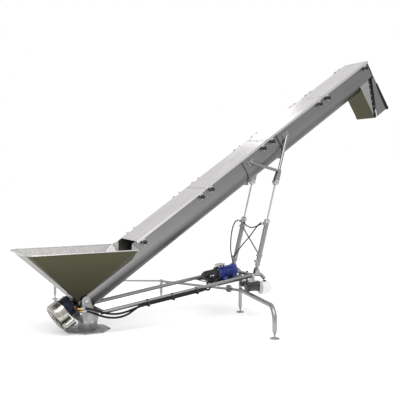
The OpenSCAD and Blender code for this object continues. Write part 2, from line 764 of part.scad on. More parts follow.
base_plate();
pedestal();
near_frame_tube();
far_frame_tube();
rear_crossbar();
centre_leg();
near_outrigger();
far_outrigger();
side_stay();
pack_tray();
drive_pump_motor();
drive_pump();
lift_pack_motor();
lift_pack_manifold();
lift_tank();
valve_block();
valve_lever();
hose_clips();
supply_hose();
return_hose();
lift_hose();
pack_hose();
crossover_hoses();
near_foot_screw();
far_foot_screw();
centre_foot_screw();
side_foot_screw();
trough();
end_plates();
trough_saddle();
lift_brackets();
hopper();
discharge_chute();
chute_seals();
bearing_housings();
drive_motor();
gearbox();
brass_fittings();
lid_hinges();
hood();
hood_flap();
auger_shaft();
flighting();
lid(0);  // lid_1
lid(1);  // lid_2
lid(2);  // lid_3
lid(3);  // lid_4
knob(1);  // knob_1
knob(2);  // knob_2
knob(3);  // knob_3
knob(4);  // knob_4
knob(5);  // knob_5
knob(6);  // knob_6
knob(7);  // knob_7
knob(8);  // knob_8
near_barrel();
far_barrel();
barrel_brace();
near_rod();
far_rod();
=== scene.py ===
"""Looks of an inclined grain auger, built round its CAD frame. Metres, +Z up."""

import json
import math

import bmesh
import bpy
from mathutils import Matrix, Vector


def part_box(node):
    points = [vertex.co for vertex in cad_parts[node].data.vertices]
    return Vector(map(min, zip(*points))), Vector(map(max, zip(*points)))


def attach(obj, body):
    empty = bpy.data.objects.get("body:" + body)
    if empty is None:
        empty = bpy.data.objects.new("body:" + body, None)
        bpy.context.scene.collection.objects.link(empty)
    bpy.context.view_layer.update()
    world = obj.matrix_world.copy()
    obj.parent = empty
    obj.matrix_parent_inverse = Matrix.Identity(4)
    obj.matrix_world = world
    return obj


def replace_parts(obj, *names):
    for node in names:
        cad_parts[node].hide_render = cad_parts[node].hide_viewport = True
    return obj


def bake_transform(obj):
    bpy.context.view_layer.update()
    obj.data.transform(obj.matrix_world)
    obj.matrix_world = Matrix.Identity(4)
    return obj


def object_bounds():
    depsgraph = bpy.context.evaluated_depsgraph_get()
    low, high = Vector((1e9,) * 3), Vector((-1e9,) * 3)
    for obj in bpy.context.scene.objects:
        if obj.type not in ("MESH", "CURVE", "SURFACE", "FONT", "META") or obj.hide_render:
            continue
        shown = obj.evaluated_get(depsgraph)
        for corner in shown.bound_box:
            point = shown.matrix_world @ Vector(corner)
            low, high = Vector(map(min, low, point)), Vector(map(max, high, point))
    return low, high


bl_info = {
    "name": "Grain auger looks",
    "version": (1, 0, 0),
    "blender": (4, 5, 0),
    "location": "View3D > Sidebar > Auger",
    "description": "Hoses, drive, fasteners and finishes for an inclined grain auger",
    "category": "Object",
}

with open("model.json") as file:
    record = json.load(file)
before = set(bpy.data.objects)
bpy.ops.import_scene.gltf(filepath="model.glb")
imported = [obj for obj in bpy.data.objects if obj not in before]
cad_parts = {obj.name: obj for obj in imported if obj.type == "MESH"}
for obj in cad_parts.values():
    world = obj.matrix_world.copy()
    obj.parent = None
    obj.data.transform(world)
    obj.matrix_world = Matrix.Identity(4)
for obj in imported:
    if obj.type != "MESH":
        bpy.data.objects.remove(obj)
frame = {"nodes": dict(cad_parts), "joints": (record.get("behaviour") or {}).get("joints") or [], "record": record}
CAD_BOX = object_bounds()
NODES = frame["nodes"]
SLOTS = {part["node"]: part["material_slot"] for part in frame["record"]["subparts"]}
X, Y, Z = Vector((1, 0, 0)), Vector((0, 1, 0)), Vector((0, 0, 1))


def joint(name):
    return next(j for j in frame["joints"] if j["name"] == name)


# ---- places: the conveyor, the sloping tubes and the lift cylinders ----

ALONG = Vector(joint("auger_spin")["axis"]).normalized()
OFF = ALONG.cross(Y)
AXIS_DROP = 0.042
MOUTH = Vector(joint("auger_spin")["pos_m"]) + OFF * AXIS_DROP
INCLINE = math.atan2(ALONG.z, ALONG.x)
TUBE_SLOPE = math.radians(8)
TUBE_FOOT = Vector((0.132, 0, 0.228))
TUBE_ALONG = Vector((math.cos(TUBE_SLOPE), 0, math.sin(TUBE_SLOPE)))
TUBE_OFF = TUBE_ALONG.cross(Y)
CYLINDER_PIN = Vector(joint("cylinder_swing")["pos_m"])
CYLINDER_ALONG = Vector(joint("near_rod_slide")["axis"]).normalized()
CYLINDER_OFF = Y.cross(CYLINDER_ALONG)
LINE_Y = 0.25
LID_EDGES = [0, 1, 2, 3, 3.885]
MAST_X = 1.926
LUG_S = (1.690, 2.290)
PUMP_OFF = 0.057
SIDES = (-1, 1)


def on_conveyor(s, y, n):
    """A point s up the trough, y to the far side and n off the centre of its round bottom."""
    return MOUTH + ALONG * s + Y * y + OFF * n


def on_tubes(u, y, w):
    """A point u up the long frame tubes, y to the far side and w above them."""
    return TUBE_FOOT + TUBE_ALONG * u + Y * y + TUBE_OFF * w


def tube_level(x):
    """Height of the long frame tubes' centre lines at x."""
    return TUBE_FOOT.z + (x - TUBE_FOOT.x) * math.tan(TUBE_SLOPE)


def on_cylinder(side, x, y, z):
    """A point in a lift cylinder's own frame; side is -1 for near and 1 for far."""
    return CYLINDER_PIN + CYLINDER_OFF * x + Y * (side * LINE_Y + y) + CYLINDER_ALONG * z


# ---- what a user may change ----


def colour(label, value):
    return bpy.props.FloatVectorProperty(
        name=label, description=f"Colour of {label.lower()}", subtype="COLOR", size=3,
        min=0, max=1, default=value)


def distance(label, about, value):
    return bpy.props.FloatProperty(name=label, description=about, subtype="DISTANCE",
                                   unit="LENGTH", min=0.0005, max=0.5, default=value)


class AugerColours(bpy.types.PropertyGroup):
    trough: colour("Trough sheet", (0.29, 0.29, 0.285))
    lids: colour("Lid sheet", (0.82, 0.79, 0.80))
    hopper: colour("Hopper sheet", (0.70, 0.69, 0.67))
    chute: colour("Chute sheet", (0.50, 0.50, 0.49))
    # Painted reflection of the shaded ground, given to sheet where it faces down: it stands in for shade, not a
    # colour of the metal.
    painted_ground_reflection: colour("Sheet that faces the ground", (0.075, 0.072, 0.045))
    tubes: colour("Frame tubes", (0.38, 0.38, 0.38))
    plate: colour("Dull steel plate", (0.42, 0.42, 0.425))
    pump_motor: colour("Pump motor enamel", (0.014, 0.035, 0.27))
    drive: colour("Drive motor enamel", (0.012, 0.016, 0.045))
    drum: colour("Gearbox drum", (0.50, 0.49, 0.45))
    brass: colour("Brass fittings", (0.66, 0.43, 0.14))
    rubber: colour("Hose and seal rubber", (0.006, 0.006, 0.0065))
    tank: colour("Oil tank", (0.80, 0.80, 0.78))


class AugerSizes(bpy.types.PropertyGroup):
    hose: distance("Drive hose", "Outside diameter of the two drive hoses", 0.022)
    lift_hose: distance("Lift hose", "Outside diameter of the lift hoses", 0.014)
    knob: distance("Knob radius", "Radius of the star knobs at their lobes", 0.0265)
    bead: distance("Weld bead", "Width of a weld bead", 0.007)
    rim: distance("Rim roll", "Radius of the rolled hopper rim", 0.0092)
    thread: distance("Thread pitch", "Pitch of the levelling screws", 0.0035)
    fins: bpy.props.IntProperty(name="Motor fins", description="Cooling fins round the pump motor",
                                min=12, max=60, default=36)


# ---- materials ----


class Finish:
    """A Principled material built node by node; constants go on the shader's own sockets."""

    def __init__(self, name, constants):
        self.material = bpy.data.materials.new(name)
        self.material.use_nodes = True
        self.tree = self.material.node_tree
        self.shader = self.tree.nodes["Principled BSDF"]
        for key, value in constants.items():
            self.shader.inputs[key].default_value = value
        self.position = self.tree.nodes.new("ShaderNodeTexCoord")

    def link(self, source, target):
        self.tree.links.new(source, target)

    def noise(self, scale, stretch=(1, 1, 1), turn=0.0, detail=4.0):
        """Noise on object coordinates, stretched in a frame turned about Y."""
        place = self.tree.nodes.new("ShaderNodeMapping")
        place.vector_type = "TEXTURE"
        place.inputs["Rotation"].default_value = (0, turn, 0)
        place.inputs["Scale"].default_value = stretch
        self.link(self.position.outputs["Object"], place.inputs["Vector"])
        pattern = self.tree.nodes.new("ShaderNodeTexNoise")
        pattern.inputs["Scale"].default_value = scale
        pattern.inputs["Detail"].default_value = detail
        self.link(place.outputs["Vector"], pattern.inputs["Vector"])
        return pattern.outputs["Fac"]

    def spread(self, value, low, high, start=0.3, end=0.7):
        """The value from start to end, mapped to low to high."""
        node = self.tree.nodes.new("ShaderNodeMapRange")
        self.link(value, node.inputs["Value"])
        settings = {"From Min": start, "From Max": end, "To Min": low, "To Max": high}
        for key, number in settings.items():
            node.inputs[key].default_value = number
        return node.outputs["Result"]

    def mix(self, factor, first, second, blend="MIX"):
        node = self.tree.nodes.new("ShaderNodeMix")
        node.data_type = "RGBA"
        node.blend_type = blend
        sockets = [node.inputs["Factor"], node.inputs[6], node.inputs[7]]
        for socket, value in zip(sockets, (factor, first, second)):
            if hasattr(value, "links"):
                self.link(value, socket)
            elif isinstance(value, (int, float)):
                socket.default_value = value
            else:
                socket.default_value = (*value, 1)
        return node.outputs[2]

    def facing_down(self, low=-0.45, high=0.0):
        """1 on surfaces that face the ground, 0 on those that face level or up; it masks the painted ground
        reflection.
        """
        node = self.tree.nodes.new("ShaderNodeSeparateXYZ")
        self.link(self.position.outputs["Normal"], node.inputs[0])
        return self.spread(node.outputs["Z"], 1.0, 0.0, low, high)

    def height(self, low, high):
        """0 at the low height above the ground, 1 at the high one; it makes the painted ground reflection darker
        lower down.
        """
        node = self.tree.nodes.new("ShaderNodeSeparateXYZ")
        self.link(self.position.outputs["Object"], node.inputs[0])
        return self.spread(node.outputs["Z"], 0.0, 1.0, low, high)

    def bump(self, height, distance_m, strength=0.5):
        node = self.tree.nodes.new("ShaderNodeBump")
        node.inputs["Strength"].default_value = strength
        node.inputs["Distance"].default_value = distance_m
        self.link(height, node.inputs["Height"])
        self.link(node.outputs["Normal"], self.shader.inputs["Normal"])

    def paint(self, base, roughness=None):
        self.link(base, self.shader.inputs["Base Color"])
        if roughness is not None:
            self.link(roughness, self.shader.inputs["Roughness"])
        return self.material


def times(rgb, factor):
    return tuple(min(1.0, channel * factor) for channel in rgb)


def brushed(name, rgb, rough, turn=-INCLINE, ground=None, grain=(1.4, 0.012, 0.012), wear=0.16,
            steepest=-0.45):
    """Sheet with a rolled grain, cloudy handling marks and, if asked, a painted reflection of the dull ground:
    darker where the sheet faces down, darkest low down.
    """
    f = Finish(name, {"Metallic": 1.0, "Anisotropic": 0.45})
    streaks = f.noise(1.0, grain, turn, 6)
    clouds = f.noise(2.2, detail=5)
    base = f.mix(f.spread(streaks, 0, 1), times(rgb, 0.90), times(rgb, 1.06))
    base = f.mix(f.spread(clouds, 0, wear, 0.4, 0.75), base, times(rgb, 0.45))
    # Painted reflection and shade: faces that turn down take the ground colour, darker lower down, where the sheet
    # would mirror the shaded floor.
    if ground:
        base = f.mix(f.facing_down(steepest), base,
                     f.mix(f.height(0.25, 0.8), times(ground, 0.35), ground))
    f.bump(streaks, 0.0003, 0.25)
    return f.paint(base, f.spread(f.mix(0.5, streaks, clouds), rough - 0.07, rough + 0.12))


def enamel(name, rgb, rough=0.32, scuff=0.35):
    """Enamel with a fine orange peel and rougher dusty patches under a thin clear coat."""
    f = Finish(name, {"Coat Weight": 0.35, "Coat Roughness": 0.18})
    dust, peel = f.noise(6.0, detail=6), f.noise(420.0, detail=2)
    base = f.mix(f.spread(dust, 0, scuff, 0.5, 0.8), rgb, (0.20, 0.19, 0.17))
    f.bump(peel, 0.0002, 0.25)
    return f.paint(base, f.spread(dust, rough, rough + 0.25))


def rubber(name, rgb, grain_size=260.0, rough=0.55):
    """Rubber with a fine grain and grey bloom."""
    f = Finish(name, {"Specular IOR Level": 0.25})
    bloom, grain = f.noise(9.0, detail=5), f.noise(grain_size, detail=3)
    base = f.mix(f.spread(bloom, 0, 0.6, 0.45, 0.8), rgb, times(rgb, 2.5))
    f.bump(grain, 0.0004, 0.35)
    return f.paint(base, f.spread(bloom, rough - 0.1, rough + 0.15))


def casting(name, rgb, rough=0.6):
    """A rough cast skin under thin paint."""
    f = Finish(name, {"Metallic": 0.35})
    pits, oil = f.noise(170.0, detail=5), f.noise(12.0, detail=4)
    base = f.mix(f.spread(oil, 0, 0.7), rgb, times(rgb, 0.45))
    f.bump(pits, 0.0012, 0.5)
    return f.paint(base, f.spread(oil, rough - 0.22, rough + 0.15))


def moulded(name, rgb, rough=0.45, soft=0.0):
    """Moulded plastic with a faint spark-eroded texture."""
    f = Finish(name, {"Subsurface Weight": soft, "Subsurface Radius": (0.01, 0.01, 0.008)})
    texture, smudge = f.noise(700.0, detail=2), f.noise(14.0, detail=4)
    base = f.mix(f.spread(smudge, 0, 0.35, 0.5, 0.8), rgb, times(rgb, 0.78))
    f.bump(texture, 0.0002, 0.3)
    return f.paint(base, f.spread(smudge, rough - 0.06, rough + 0.12))


def turned(name, rgb, rough=0.2):
    """Machined metal with faint lathe marks and handling stains."""
    f = Finish(name, {"Metallic": 1.0})
    marks, stain = f.noise(900.0, detail=3), f.noise(30.0, detail=4)
    base = f.mix(f.spread(stain, 0, 0.6, 0.45, 0.8), rgb, times(rgb, 0.55))
    f.bump(marks, 0.0001, 0.3)
    return f.paint(base, f.spread(stain, rough, rough + 0.22))


def make_finishes(c):
    """Every material slot of the record by name, and a few that only small pieces use."""
    # Each ground colour below is a painted reflection of the shaded ground: the sheet turns to it where it faces
    # down, darker lower down.
    ground, upright = tuple(c.painted_ground_reflection), (0.02, 0.02, 0.9)
    return {
        "sheet_steel": brushed("rolled_trough_sheet", c.trough, 0.34,
                               ground=times(c.trough, 0.42)),
        "lid_steel": brushed("bright_lid_sheet", c.lids, 0.30, wear=0.10),
        "hopper_steel": brushed("polished_hopper_sheet", c.hopper, 0.24, 0.0, ground, upright, 0.08,
                                -0.26),
        "chute_steel": brushed("chute_sheet", c.chute, 0.30, ground=ground),
        "tube_steel": brushed("satin_tube", c.tubes, 0.30, -TUBE_SLOPE, times(c.tubes, 0.45),
                              (0.5, 0.01, 0.01)),
        "dark_steel": casting("dull_plate", c.plate, 0.5),
        "chrome_rod": turned("chromed_rod", (0.80, 0.80, 0.81), 0.07),
        "cast_iron": casting("bearing_casting", (0.10, 0.10, 0.105)),
        "dark_casting": casting("painted_casting", (0.030, 0.031, 0.036), 0.45),
        "blue_paint": enamel("pump_motor_enamel", c.pump_motor),
        "navy_paint": enamel("drive_motor_enamel", c.drive),
        "drum_steel": brushed("polished_drum", c.drum, 0.20, math.pi / 2, times(c.painted_ground_reflection, 1.6),
                              (0.6, 0.01, 0.01), 0.08),
        "black_paint": enamel("lift_motor_enamel", (0.012, 0.012, 0.013), 0.3, 0.2),
        "aluminium_block": turned("milled_aluminium", (0.58, 0.58, 0.59), 0.3),
        "white_plastic": moulded("tank_plastic", c.tank, 0.4, 0.12),
        "black_plastic": moulded("clip_plastic", (0.02, 0.02, 0.021), 0.5),
        "knob_plastic": moulded("knob_plastic", (0.012, 0.012, 0.013), 0.28),
        "hose_rubber": rubber("hose_cover", c.rubber, 320.0, 0.5),
        "seal_rubber": rubber("seal_sheet", c.rubber, 180.0, 0.62),
        "brass": turned("fitting_brass", c.brass, 0.22),
        "zinc": turned("zinc_plated_bolt", (0.56, 0.57, 0.58), 0.28),
        "weld": turned("weld_metal", (0.42, 0.40, 0.37), 0.35),
    }


FINISHES = {}


# ---- making pieces ----


def place_piece(name, mesh, finish, body, sharp=40.0):
    """Makes a mesh a finished piece: smooth shading, a material, a body and a slot."""
    mesh.name = name
    mesh.shade_smooth()
    mesh.set_sharp_from_angle(angle=math.radians(sharp))
    piece = bpy.data.objects.new(name, mesh)
    bpy.context.scene.collection.objects.link(piece)
    mesh.materials.clear()
    mesh.materials.append(FINISHES[finish])
    if body:
        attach(piece, body)
    return piece


def mesh_from(bm, name="part"):
    """A mesh with its faces turned outward; the BMesh is used up."""
    bmesh.ops.remove_doubles(bm, verts=bm.verts, dist=1e-6)
    bmesh.ops.recalc_face_normals(bm, faces=bm.faces)
    mesh = bpy.data.meshes.new(name)
    bm.to_mesh(mesh)
    bm.free()
    return mesh


def piece_from(bm, name, finish, body, sharp=40.0):
    return place_piece(name, mesh_from(bm, name), finish, body, sharp)


def soften(piece, width, segments=2):
    """Rounds a piece's sharp edges."""
    rounding = piece.modifiers.new("rounded edges", "BEVEL")
    rounding.width = width
    rounding.segments = segments
    rounding.limit_method = "ANGLE"
    rounding.angle_limit = math.radians(35)
    return piece


def sides_of(axis):
    """Two directions square to an axis and to each other."""
    axis = axis.normalized()
    first = axis.cross(Y if abs(axis.y) < 0.9 else X).normalized()
    return first, axis.cross(first)


def turn_profile(bm, origin, axis, profile, steps=48):
    """Adds a turned shape; the profile lists (distance along the axis, radius)."""
    axis = axis.normalized()
    across, over = sides_of(axis)
    rings = []
    for along, radius in profile:
        centre = origin + axis * along
        if radius < 1e-6:
            rings.append([bm.verts.new(centre)])
            continue
        angles = [math.tau * k / steps for k in range(steps)]
        rings.append([bm.verts.new(centre + (across * math.cos(a) + over * math.sin(a)) * radius)
                      for a in angles])
    for low, high in zip(rings, rings[1:]):
        for k in range(steps):
            corners = [low[k % len(low)], low[(k + 1) % len(low)],
                       high[(k + 1) % len(high)], high[k % len(high)]]
            corners = list(dict.fromkeys(corners))
            if len(corners) > 2:
                bm.faces.new(corners)


def add_prism(bm, outline, origin, first, second, depth):
    """Adds a flat outline in the first and second directions, given a depth square to both."""
    thick = first.cross(second).normalized() * depth
    low = [bm.verts.new(origin + first * a + second * b) for a, b in outline]
    high = [bm.verts.new(v.co + thick) for v in low]
    bm.faces.new(low)
    bm.faces.new(high[::-1])
    for k in range(len(low)):
        m = (k + 1) % len(low)
        bm.faces.new([low[k], low[m], high[m], high[k]])


def add_block(bm, low, high, place):
    """Adds a box between two corners of a frame such as on_tubes."""
    corner = [bm.verts.new(place(a, b, c)) for a in (low[0], high[0])
              for b in (low[1], high[1]) for c in (low[2], high[2])]
    for face in ((0, 1, 3, 2), (4, 6, 7, 5), (0, 4, 5, 1), (2, 3, 7, 6), (0, 2, 6, 4), (1, 5, 7, 3)):
        bm.faces.new([corner[k] for k in face])


def ring_points(centre, axis, radius, count, start=0.0, sweep=math.tau):
    """Points round an axis; a full turn leaves out the repeated last point."""
    across, over = sides_of(axis)
    last = count if abs(sweep - math.tau) < 1e-6 else count - 1
    angles = [start + sweep * k / last for k in range(count)]
    return [centre + (across * math.cos(a) + over * math.sin(a)) * radius for a in angles]


# ---- geometry nodes ----


def new_tree(name, inputs):
    tree = bpy.data.node_groups.new(name, "GeometryNodeTree")
    tree.interface.new_socket("Geometry", in_out="INPUT", socket_type="NodeSocketGeometry")
    for label, kind in inputs.items():
        tree.interface.new_socket(label, in_out="INPUT", socket_type=kind)
    tree.interface.new_socket("Geometry", in_out="OUTPUT", socket_type="NodeSocketGeometry")
    given = tree.nodes.new("NodeGroupInput")
    result = tree.nodes.new("NodeGroupOutput")
    return tree, given, result


def join(tree, *links):
    """Links sockets, each link given as (from node, its output, to node, its input)."""
    for source, output, target, entry in links:
        tree.links.new(source.outputs[output], target.inputs[entry])


def close_tree(tree, given, result, last, output):
    """Ends a tree in Realize Instances and Set Material."""
    real = tree.nodes.new("GeometryNodeRealizeInstances")
    finish = tree.nodes.new("GeometryNodeSetMaterial")
    join(tree, (last, output, real, "Geometry"), (real, "Geometry", finish, "Geometry"),
         (given, "Finish", finish, "Material"), (finish, "Geometry", result, "Geometry"))
    return tree


def repeat_tree():
    """A part at every point, its Z along the facing attribute and its X along the along one."""
    tree, given, result = new_tree("repeated part", {
        "Part": "NodeSocketObject", "Size": "NodeSocketFloat", "Finish": "NodeSocketMaterial"})
    part = tree.nodes.new("GeometryNodeObjectInfo")
    part.inputs["As Instance"].default_value = True
    join(tree, (given, "Part", part, "Object"))
    turn = None
    for attribute, axis, pivot in (("facing", "Z", "AUTO"), ("along", "X", "Z")):
        read = tree.nodes.new("GeometryNodeInputNamedAttribute")
        read.data_type = "FLOAT_VECTOR"
        read.inputs["Name"].default_value = attribute
        align = tree.nodes.new("FunctionNodeAlignRotationToVector")
        align.axis, align.pivot_axis = axis, pivot
        join(tree, (read, "Attribute", align, "Vector"))
        if turn:
            join(tree, (turn, "Rotation", align, "Rotation"))
        turn = align
    spread = tree.nodes.new("GeometryNodeInstanceOnPoints")
    join(tree, (given, "Geometry", spread, "Points"), (part, "Geometry", spread, "Instance"),
         (turn, "Rotation", spread, "Rotation"), (given, "Size", spread, "Scale"))
    return close_tree(tree, given, result, spread, "Instances")


def tube_tree():
    """A round tube along a route of edges."""
    tree, given, result = new_tree("tube along a route", {
        "Radius": "NodeSocketFloat", "Sides": "NodeSocketInt", "Finish": "NodeSocketMaterial"})
    route = tree.nodes.new("GeometryNodeMeshToCurve")
    profile = tree.nodes.new("GeometryNodeCurvePrimitiveCircle")
    sweep = tree.nodes.new("GeometryNodeCurveToMesh")
    sweep.inputs["Fill Caps"].default_value = True
    join(tree, (given, "Geometry", route, "Mesh"), (given, "Radius", profile, "Radius"),
         (given, "Sides", profile, "Resolution"), (route, "Curve", sweep, "Curve"),
         (profile, "Curve", sweep, "Profile Curve"))
    return close_tree(tree, given, result, sweep, "Mesh")


def bead_tree():
    """A weld bead: overlapping drops at an even spacing along a route of edges."""
    tree, given, result = new_tree("weld bead", {
        "Radius": "NodeSocketFloat", "Spacing": "NodeSocketFloat", "Finish": "NodeSocketMaterial"})
    route = tree.nodes.new("GeometryNodeMeshToCurve")
    even = tree.nodes.new("GeometryNodeResampleCurve")
    even.mode = "LENGTH"
    drop = tree.nodes.new("GeometryNodeMeshIcoSphere")
    drop.inputs["Subdivisions"].default_value = 1
    spread = tree.nodes.new("GeometryNodeInstanceOnPoints")
    join(tree, (given, "Geometry", route, "Mesh"), (route, "Curve", even, "Curve"),
         (given, "Spacing", even, "Length"), (given, "Radius", drop, "Radius"),
         (even, "Curve", spread, "Points"), (drop, "Mesh", spread, "Instance"))
    return close_tree(tree, given, result, spread, "Instances")


TREES = {}


def grow(tree_name, source, inputs):
    """Runs a tree on a mesh and gives back the result as a plain mesh."""
    tree = TREES[tree_name]
    holder = bpy.data.objects.new("holder", source)
    bpy.context.scene.collection.objects.link(holder)
    nodes = holder.modifiers.new("build", "NODES")
    nodes.node_group = tree
    for item in tree.interface.items_tree:
        if item.in_out == "INPUT" and item.name in inputs:
            nodes[item.identifier] = inputs[item.name]
    bpy.context.view_layer.update()
    made = bpy.data.meshes.new_from_object(
        holder.evaluated_get(bpy.context.evaluated_depsgraph_get()))
    bpy.data.objects.remove(holder)
    bpy.data.meshes.remove(source)
    if not made.polygons:
        raise RuntimeError(f"the {tree_name} tree made nothing")
    return made


def routes_mesh(routes):
    """Polylines as one mesh of edges; a route may be closed."""
    points, edges = [], []
    for route, closed in routes:
        first = len(points)
        points += [tuple(p) for p in route]
        edges += [(first + k, first + k + 1) for k in range(len(route) - 1)]
        if closed:
            edges.append((len(points) - 1, first))
    mesh = bpy.data.meshes.new("routes")
    mesh.from_pydata(points, edges, [])
    return mesh


def tube(name, route, radius, finish, body, sides=16):
    """A piece swept along an open route."""
    made = grow("tube", routes_mesh([(route, False)]),
                {"Radius": radius, "Sides": sides, "Finish": FINISHES[finish]})
    return place_piece(name, made, finish, body)


def weld(name, routes, body):
    size = bpy.context.scene.auger_sizes.bead
    made = grow("bead", routes_mesh(routes),
                {"Radius": size / 2, "Spacing": size * 0.45, "Finish": FINISHES["weld"]})
    return place_piece(name, made, "weld", body, 60)


def repeat(name, shape, spots, size, finish, body):
    """Spots are (point, facing) or (point, facing, along)."""
    source = bpy.data.meshes.new("spots")
    source.from_pydata([tuple(spot[0]) for spot in spots], [], [])
    for label, index in (("facing", 1), ("along", 2)):
        values = source.attributes.new(label, "FLOAT_VECTOR", "POINT")
        for k, spot in enumerate(spots):
            values.data[k].vector = spot[index] if len(spot) > index else sides_of(spot[1])[0]
    part = bpy.data.objects.new("part", shape())
    bpy.context.scene.collection.objects.link(part)
    made = grow("repeat", source, {"Part": part, "Size": size, "Finish": FINISHES[finish]})
    mesh = part.data
    bpy.data.objects.remove(part)
    bpy.data.meshes.remove(mesh)
    return place_piece(name, made, finish, body, 30)


def bolts(name, spots, size, body):
    """Zinc-plated hexagon heads at the spots."""
    return repeat(name, hex_bolt, spots, size, "zinc", body)


def hex_bolt():
    """A unit hexagon head on its washer."""
    bm = bmesh.new()
    turn_profile(bm, Vector(), Z, [(-0.1, 0), (-0.1, 1.35), (0.16, 1.35), (0.2, 1.28), (0.2, 0)], 20)
    turn_profile(bm, Vector(), Z, [(0.1, 0), (0.1, 1.0), (0.72, 1.0), (0.85, 0.86), (0.85, 0)], 6)
    return mesh_from(bm)


def rivet():
    """A unit domed rivet head."""
    bm = bmesh.new()
    dome = [(-0.1, 0), (-0.1, 1), (0.1, 1), (0.34, 0.86), (0.52, 0.55), (0.6, 0)]
    turn_profile(bm, Vector(), Z, dome, 12)
    return mesh_from(bm)


def fin():
    """A cooling fin in metres, 186 mm long, so it is repeated at size 1."""
    bm = bmesh.new()
    half, foot, top = Vector((0.093, 0.0016, 0)), -Z * 0.006, Z * 0.008
    add_block(bm, foot - half, top + half, lambda *place: Vector(place))
    return mesh_from(bm)


def smooth_route(points, steps=6):
    """The smooth curve through given points that the CAD hoses also follow."""
    p = [Vector(q) for q in points]
    route = []
    for k in range(len(p) - 1):
        a, b, c, d = p[max(k - 1, 0)], p[k], p[k + 1], p[min(k + 2, len(p) - 1)]
        for j in range(steps):
            t = j / steps
            route.append(0.5 * (2 * b + (c - a) * t + (2 * a - 5 * b + 4 * c - d) * t * t
                                + (3 * b - a - 3 * c + d) * t ** 3))
    return route + [p[-1]]


# ---- stage ----


# The photo's camera, fitted to the edges in it; its turn is heading, tilt and roll in degrees.
CAMERA_AT = (-2.445, -6.847, 1.643)
CAMERA_TURN = (29.13, -2.11, 0.13)
CAMERA_LENS = 61.3
FLOOR_HALF = 60
FLOOR_GLOW = 0.32
# Name, place, side in metres and watts of each square lamp; all face the machine's centre.
LAMPS = (("soft_top", (-1.0, -3.5, 7.0), 6.0, 300),
         ("soft_low_end", (-6.5, -4.0, 2.2), 3.0, 30),
         ("soft_back", (3.7, 4.1, 4.9), 0.9, 7))


class AUGER_OT_stage(bpy.types.Operator):
    """Floor, soft studio light and the camera"""

    bl_idname = "auger.stage"
    bl_label = "Stage"

    def execute(self, context):
        scene = context.scene
        camera = bpy.data.cameras.new("camera")
        camera.sensor_width, camera.lens = 36, CAMERA_LENS
        camera.clip_end = 200
        view = bpy.data.objects.new("camera", camera)
        heading, tilt, roll = (math.radians(angle) for angle in CAMERA_TURN)
        ahead = Vector((math.sin(heading) * math.cos(tilt), math.cos(heading) * math.cos(tilt),
                        math.sin(tilt)))
        right = ahead.cross(Z).normalized()
        up = right.cross(ahead)
        right, up = (right * math.cos(roll) + up * math.sin(roll),
                     up * math.cos(roll) - right * math.sin(roll))
        aim = Matrix((right, up, -ahead)).transposed().to_4x4()
        view.matrix_world = Matrix.Translation(CAMERA_AT) @ aim
        scene.collection.objects.link(view)
        scene.camera = view

        bm = bmesh.new()
        bmesh.ops.create_grid(bm, x_segments=1, y_segments=1, size=FLOOR_HALF)
        mesh = bpy.data.meshes.new("floor")
        bm.to_mesh(mesh)
        bm.free()
        floor = bpy.data.objects.new("floor", mesh)
        scene.collection.objects.link(floor)
        pale = bpy.data.materials.new("pale_floor")
        pale.use_nodes = True
        shader = pale.node_tree.nodes["Principled BSDF"]
        shader.inputs["Base Color"].default_value = (0.90, 0.90, 0.90, 1)
        shader.inputs["Roughness"].default_value = 0.9
        shader.inputs["Specular IOR Level"].default_value = 0.1
        shader.inputs["Emission Color"].default_value = (1, 1, 1, 1)
        shader.inputs["Emission Strength"].default_value = FLOOR_GLOW
        mesh.materials.append(pale)
        self.light_room(scene)
        centre = (CAD_BOX[0] + CAD_BOX[1]) / 2
        for name, spot, size, power in LAMPS:
            lamp = bpy.data.lights.new(name, "AREA")
            lamp.size, lamp.energy = size, power
            holder = bpy.data.objects.new(name, lamp)
            holder.matrix_world = Matrix.Translation(spot) @ (
                centre - Vector(spot)).to_track_quat("-Z", "Y").to_matrix().to_4x4()
            scene.collection.objects.link(holder)
        scene.view_settings.view_transform = "Standard"
        return {"FINISHED"}

    def light_room(self, scene):
        """A studio room: bright above, dimmer toward the ground, plain white where the camera sees it."""
        room = bpy.data.worlds.new("room")
        room.use_nodes = True
        tree = room.node_tree
        tree.nodes.clear()
        out = tree.nodes.new("ShaderNodeOutputWorld")
        where = tree.nodes.new("ShaderNodeTexCoord")
        split = tree.nodes.new("ShaderNodeSeparateXYZ")
        height = tree.nodes.new("ShaderNodeMapRange")
        ramp = tree.nodes.new("ShaderNodeValToRGB")
        lit, seen = tree.nodes.new("ShaderNodeBackground"), tree.nodes.new("ShaderNodeBackground")
        path, mix = tree.nodes.new("ShaderNodeLightPath"), tree.nodes.new("ShaderNodeMixShader")
        height.inputs["From Min"].default_value = -1
        stops = ((0.0, 0.30), (0.49, 0.48), (0.56, 0.60), (0.70, 0.75), (1.0, 0.85))
        while len(ramp.color_ramp.elements) < len(stops):
            ramp.color_ramp.elements.new(0.5)
        for element, (spot, grey) in zip(ramp.color_ramp.elements, stops):
            element.position = spot
            element.color = (grey, grey, grey * 1.01, 1)
        seen.inputs["Color"].default_value = (1, 1, 1, 1)
        for source, target in (
                (where.outputs["Generated"], split.inputs[0]),
                (split.outputs["Z"], height.inputs["Value"]),
                (height.outputs["Result"], ramp.inputs["Fac"]),
                (ramp.outputs["Color"], lit.inputs["Color"]),
                (path.outputs["Is Camera Ray"], mix.inputs[0]),
                (lit.outputs[0], mix.inputs[1]), (seen.outputs[0], mix.inputs[2]),
                (mix.outputs[0], out.inputs["Surface"])):
            tree.links.new(source, target)
        scene.world = room


# ---- hoses ----

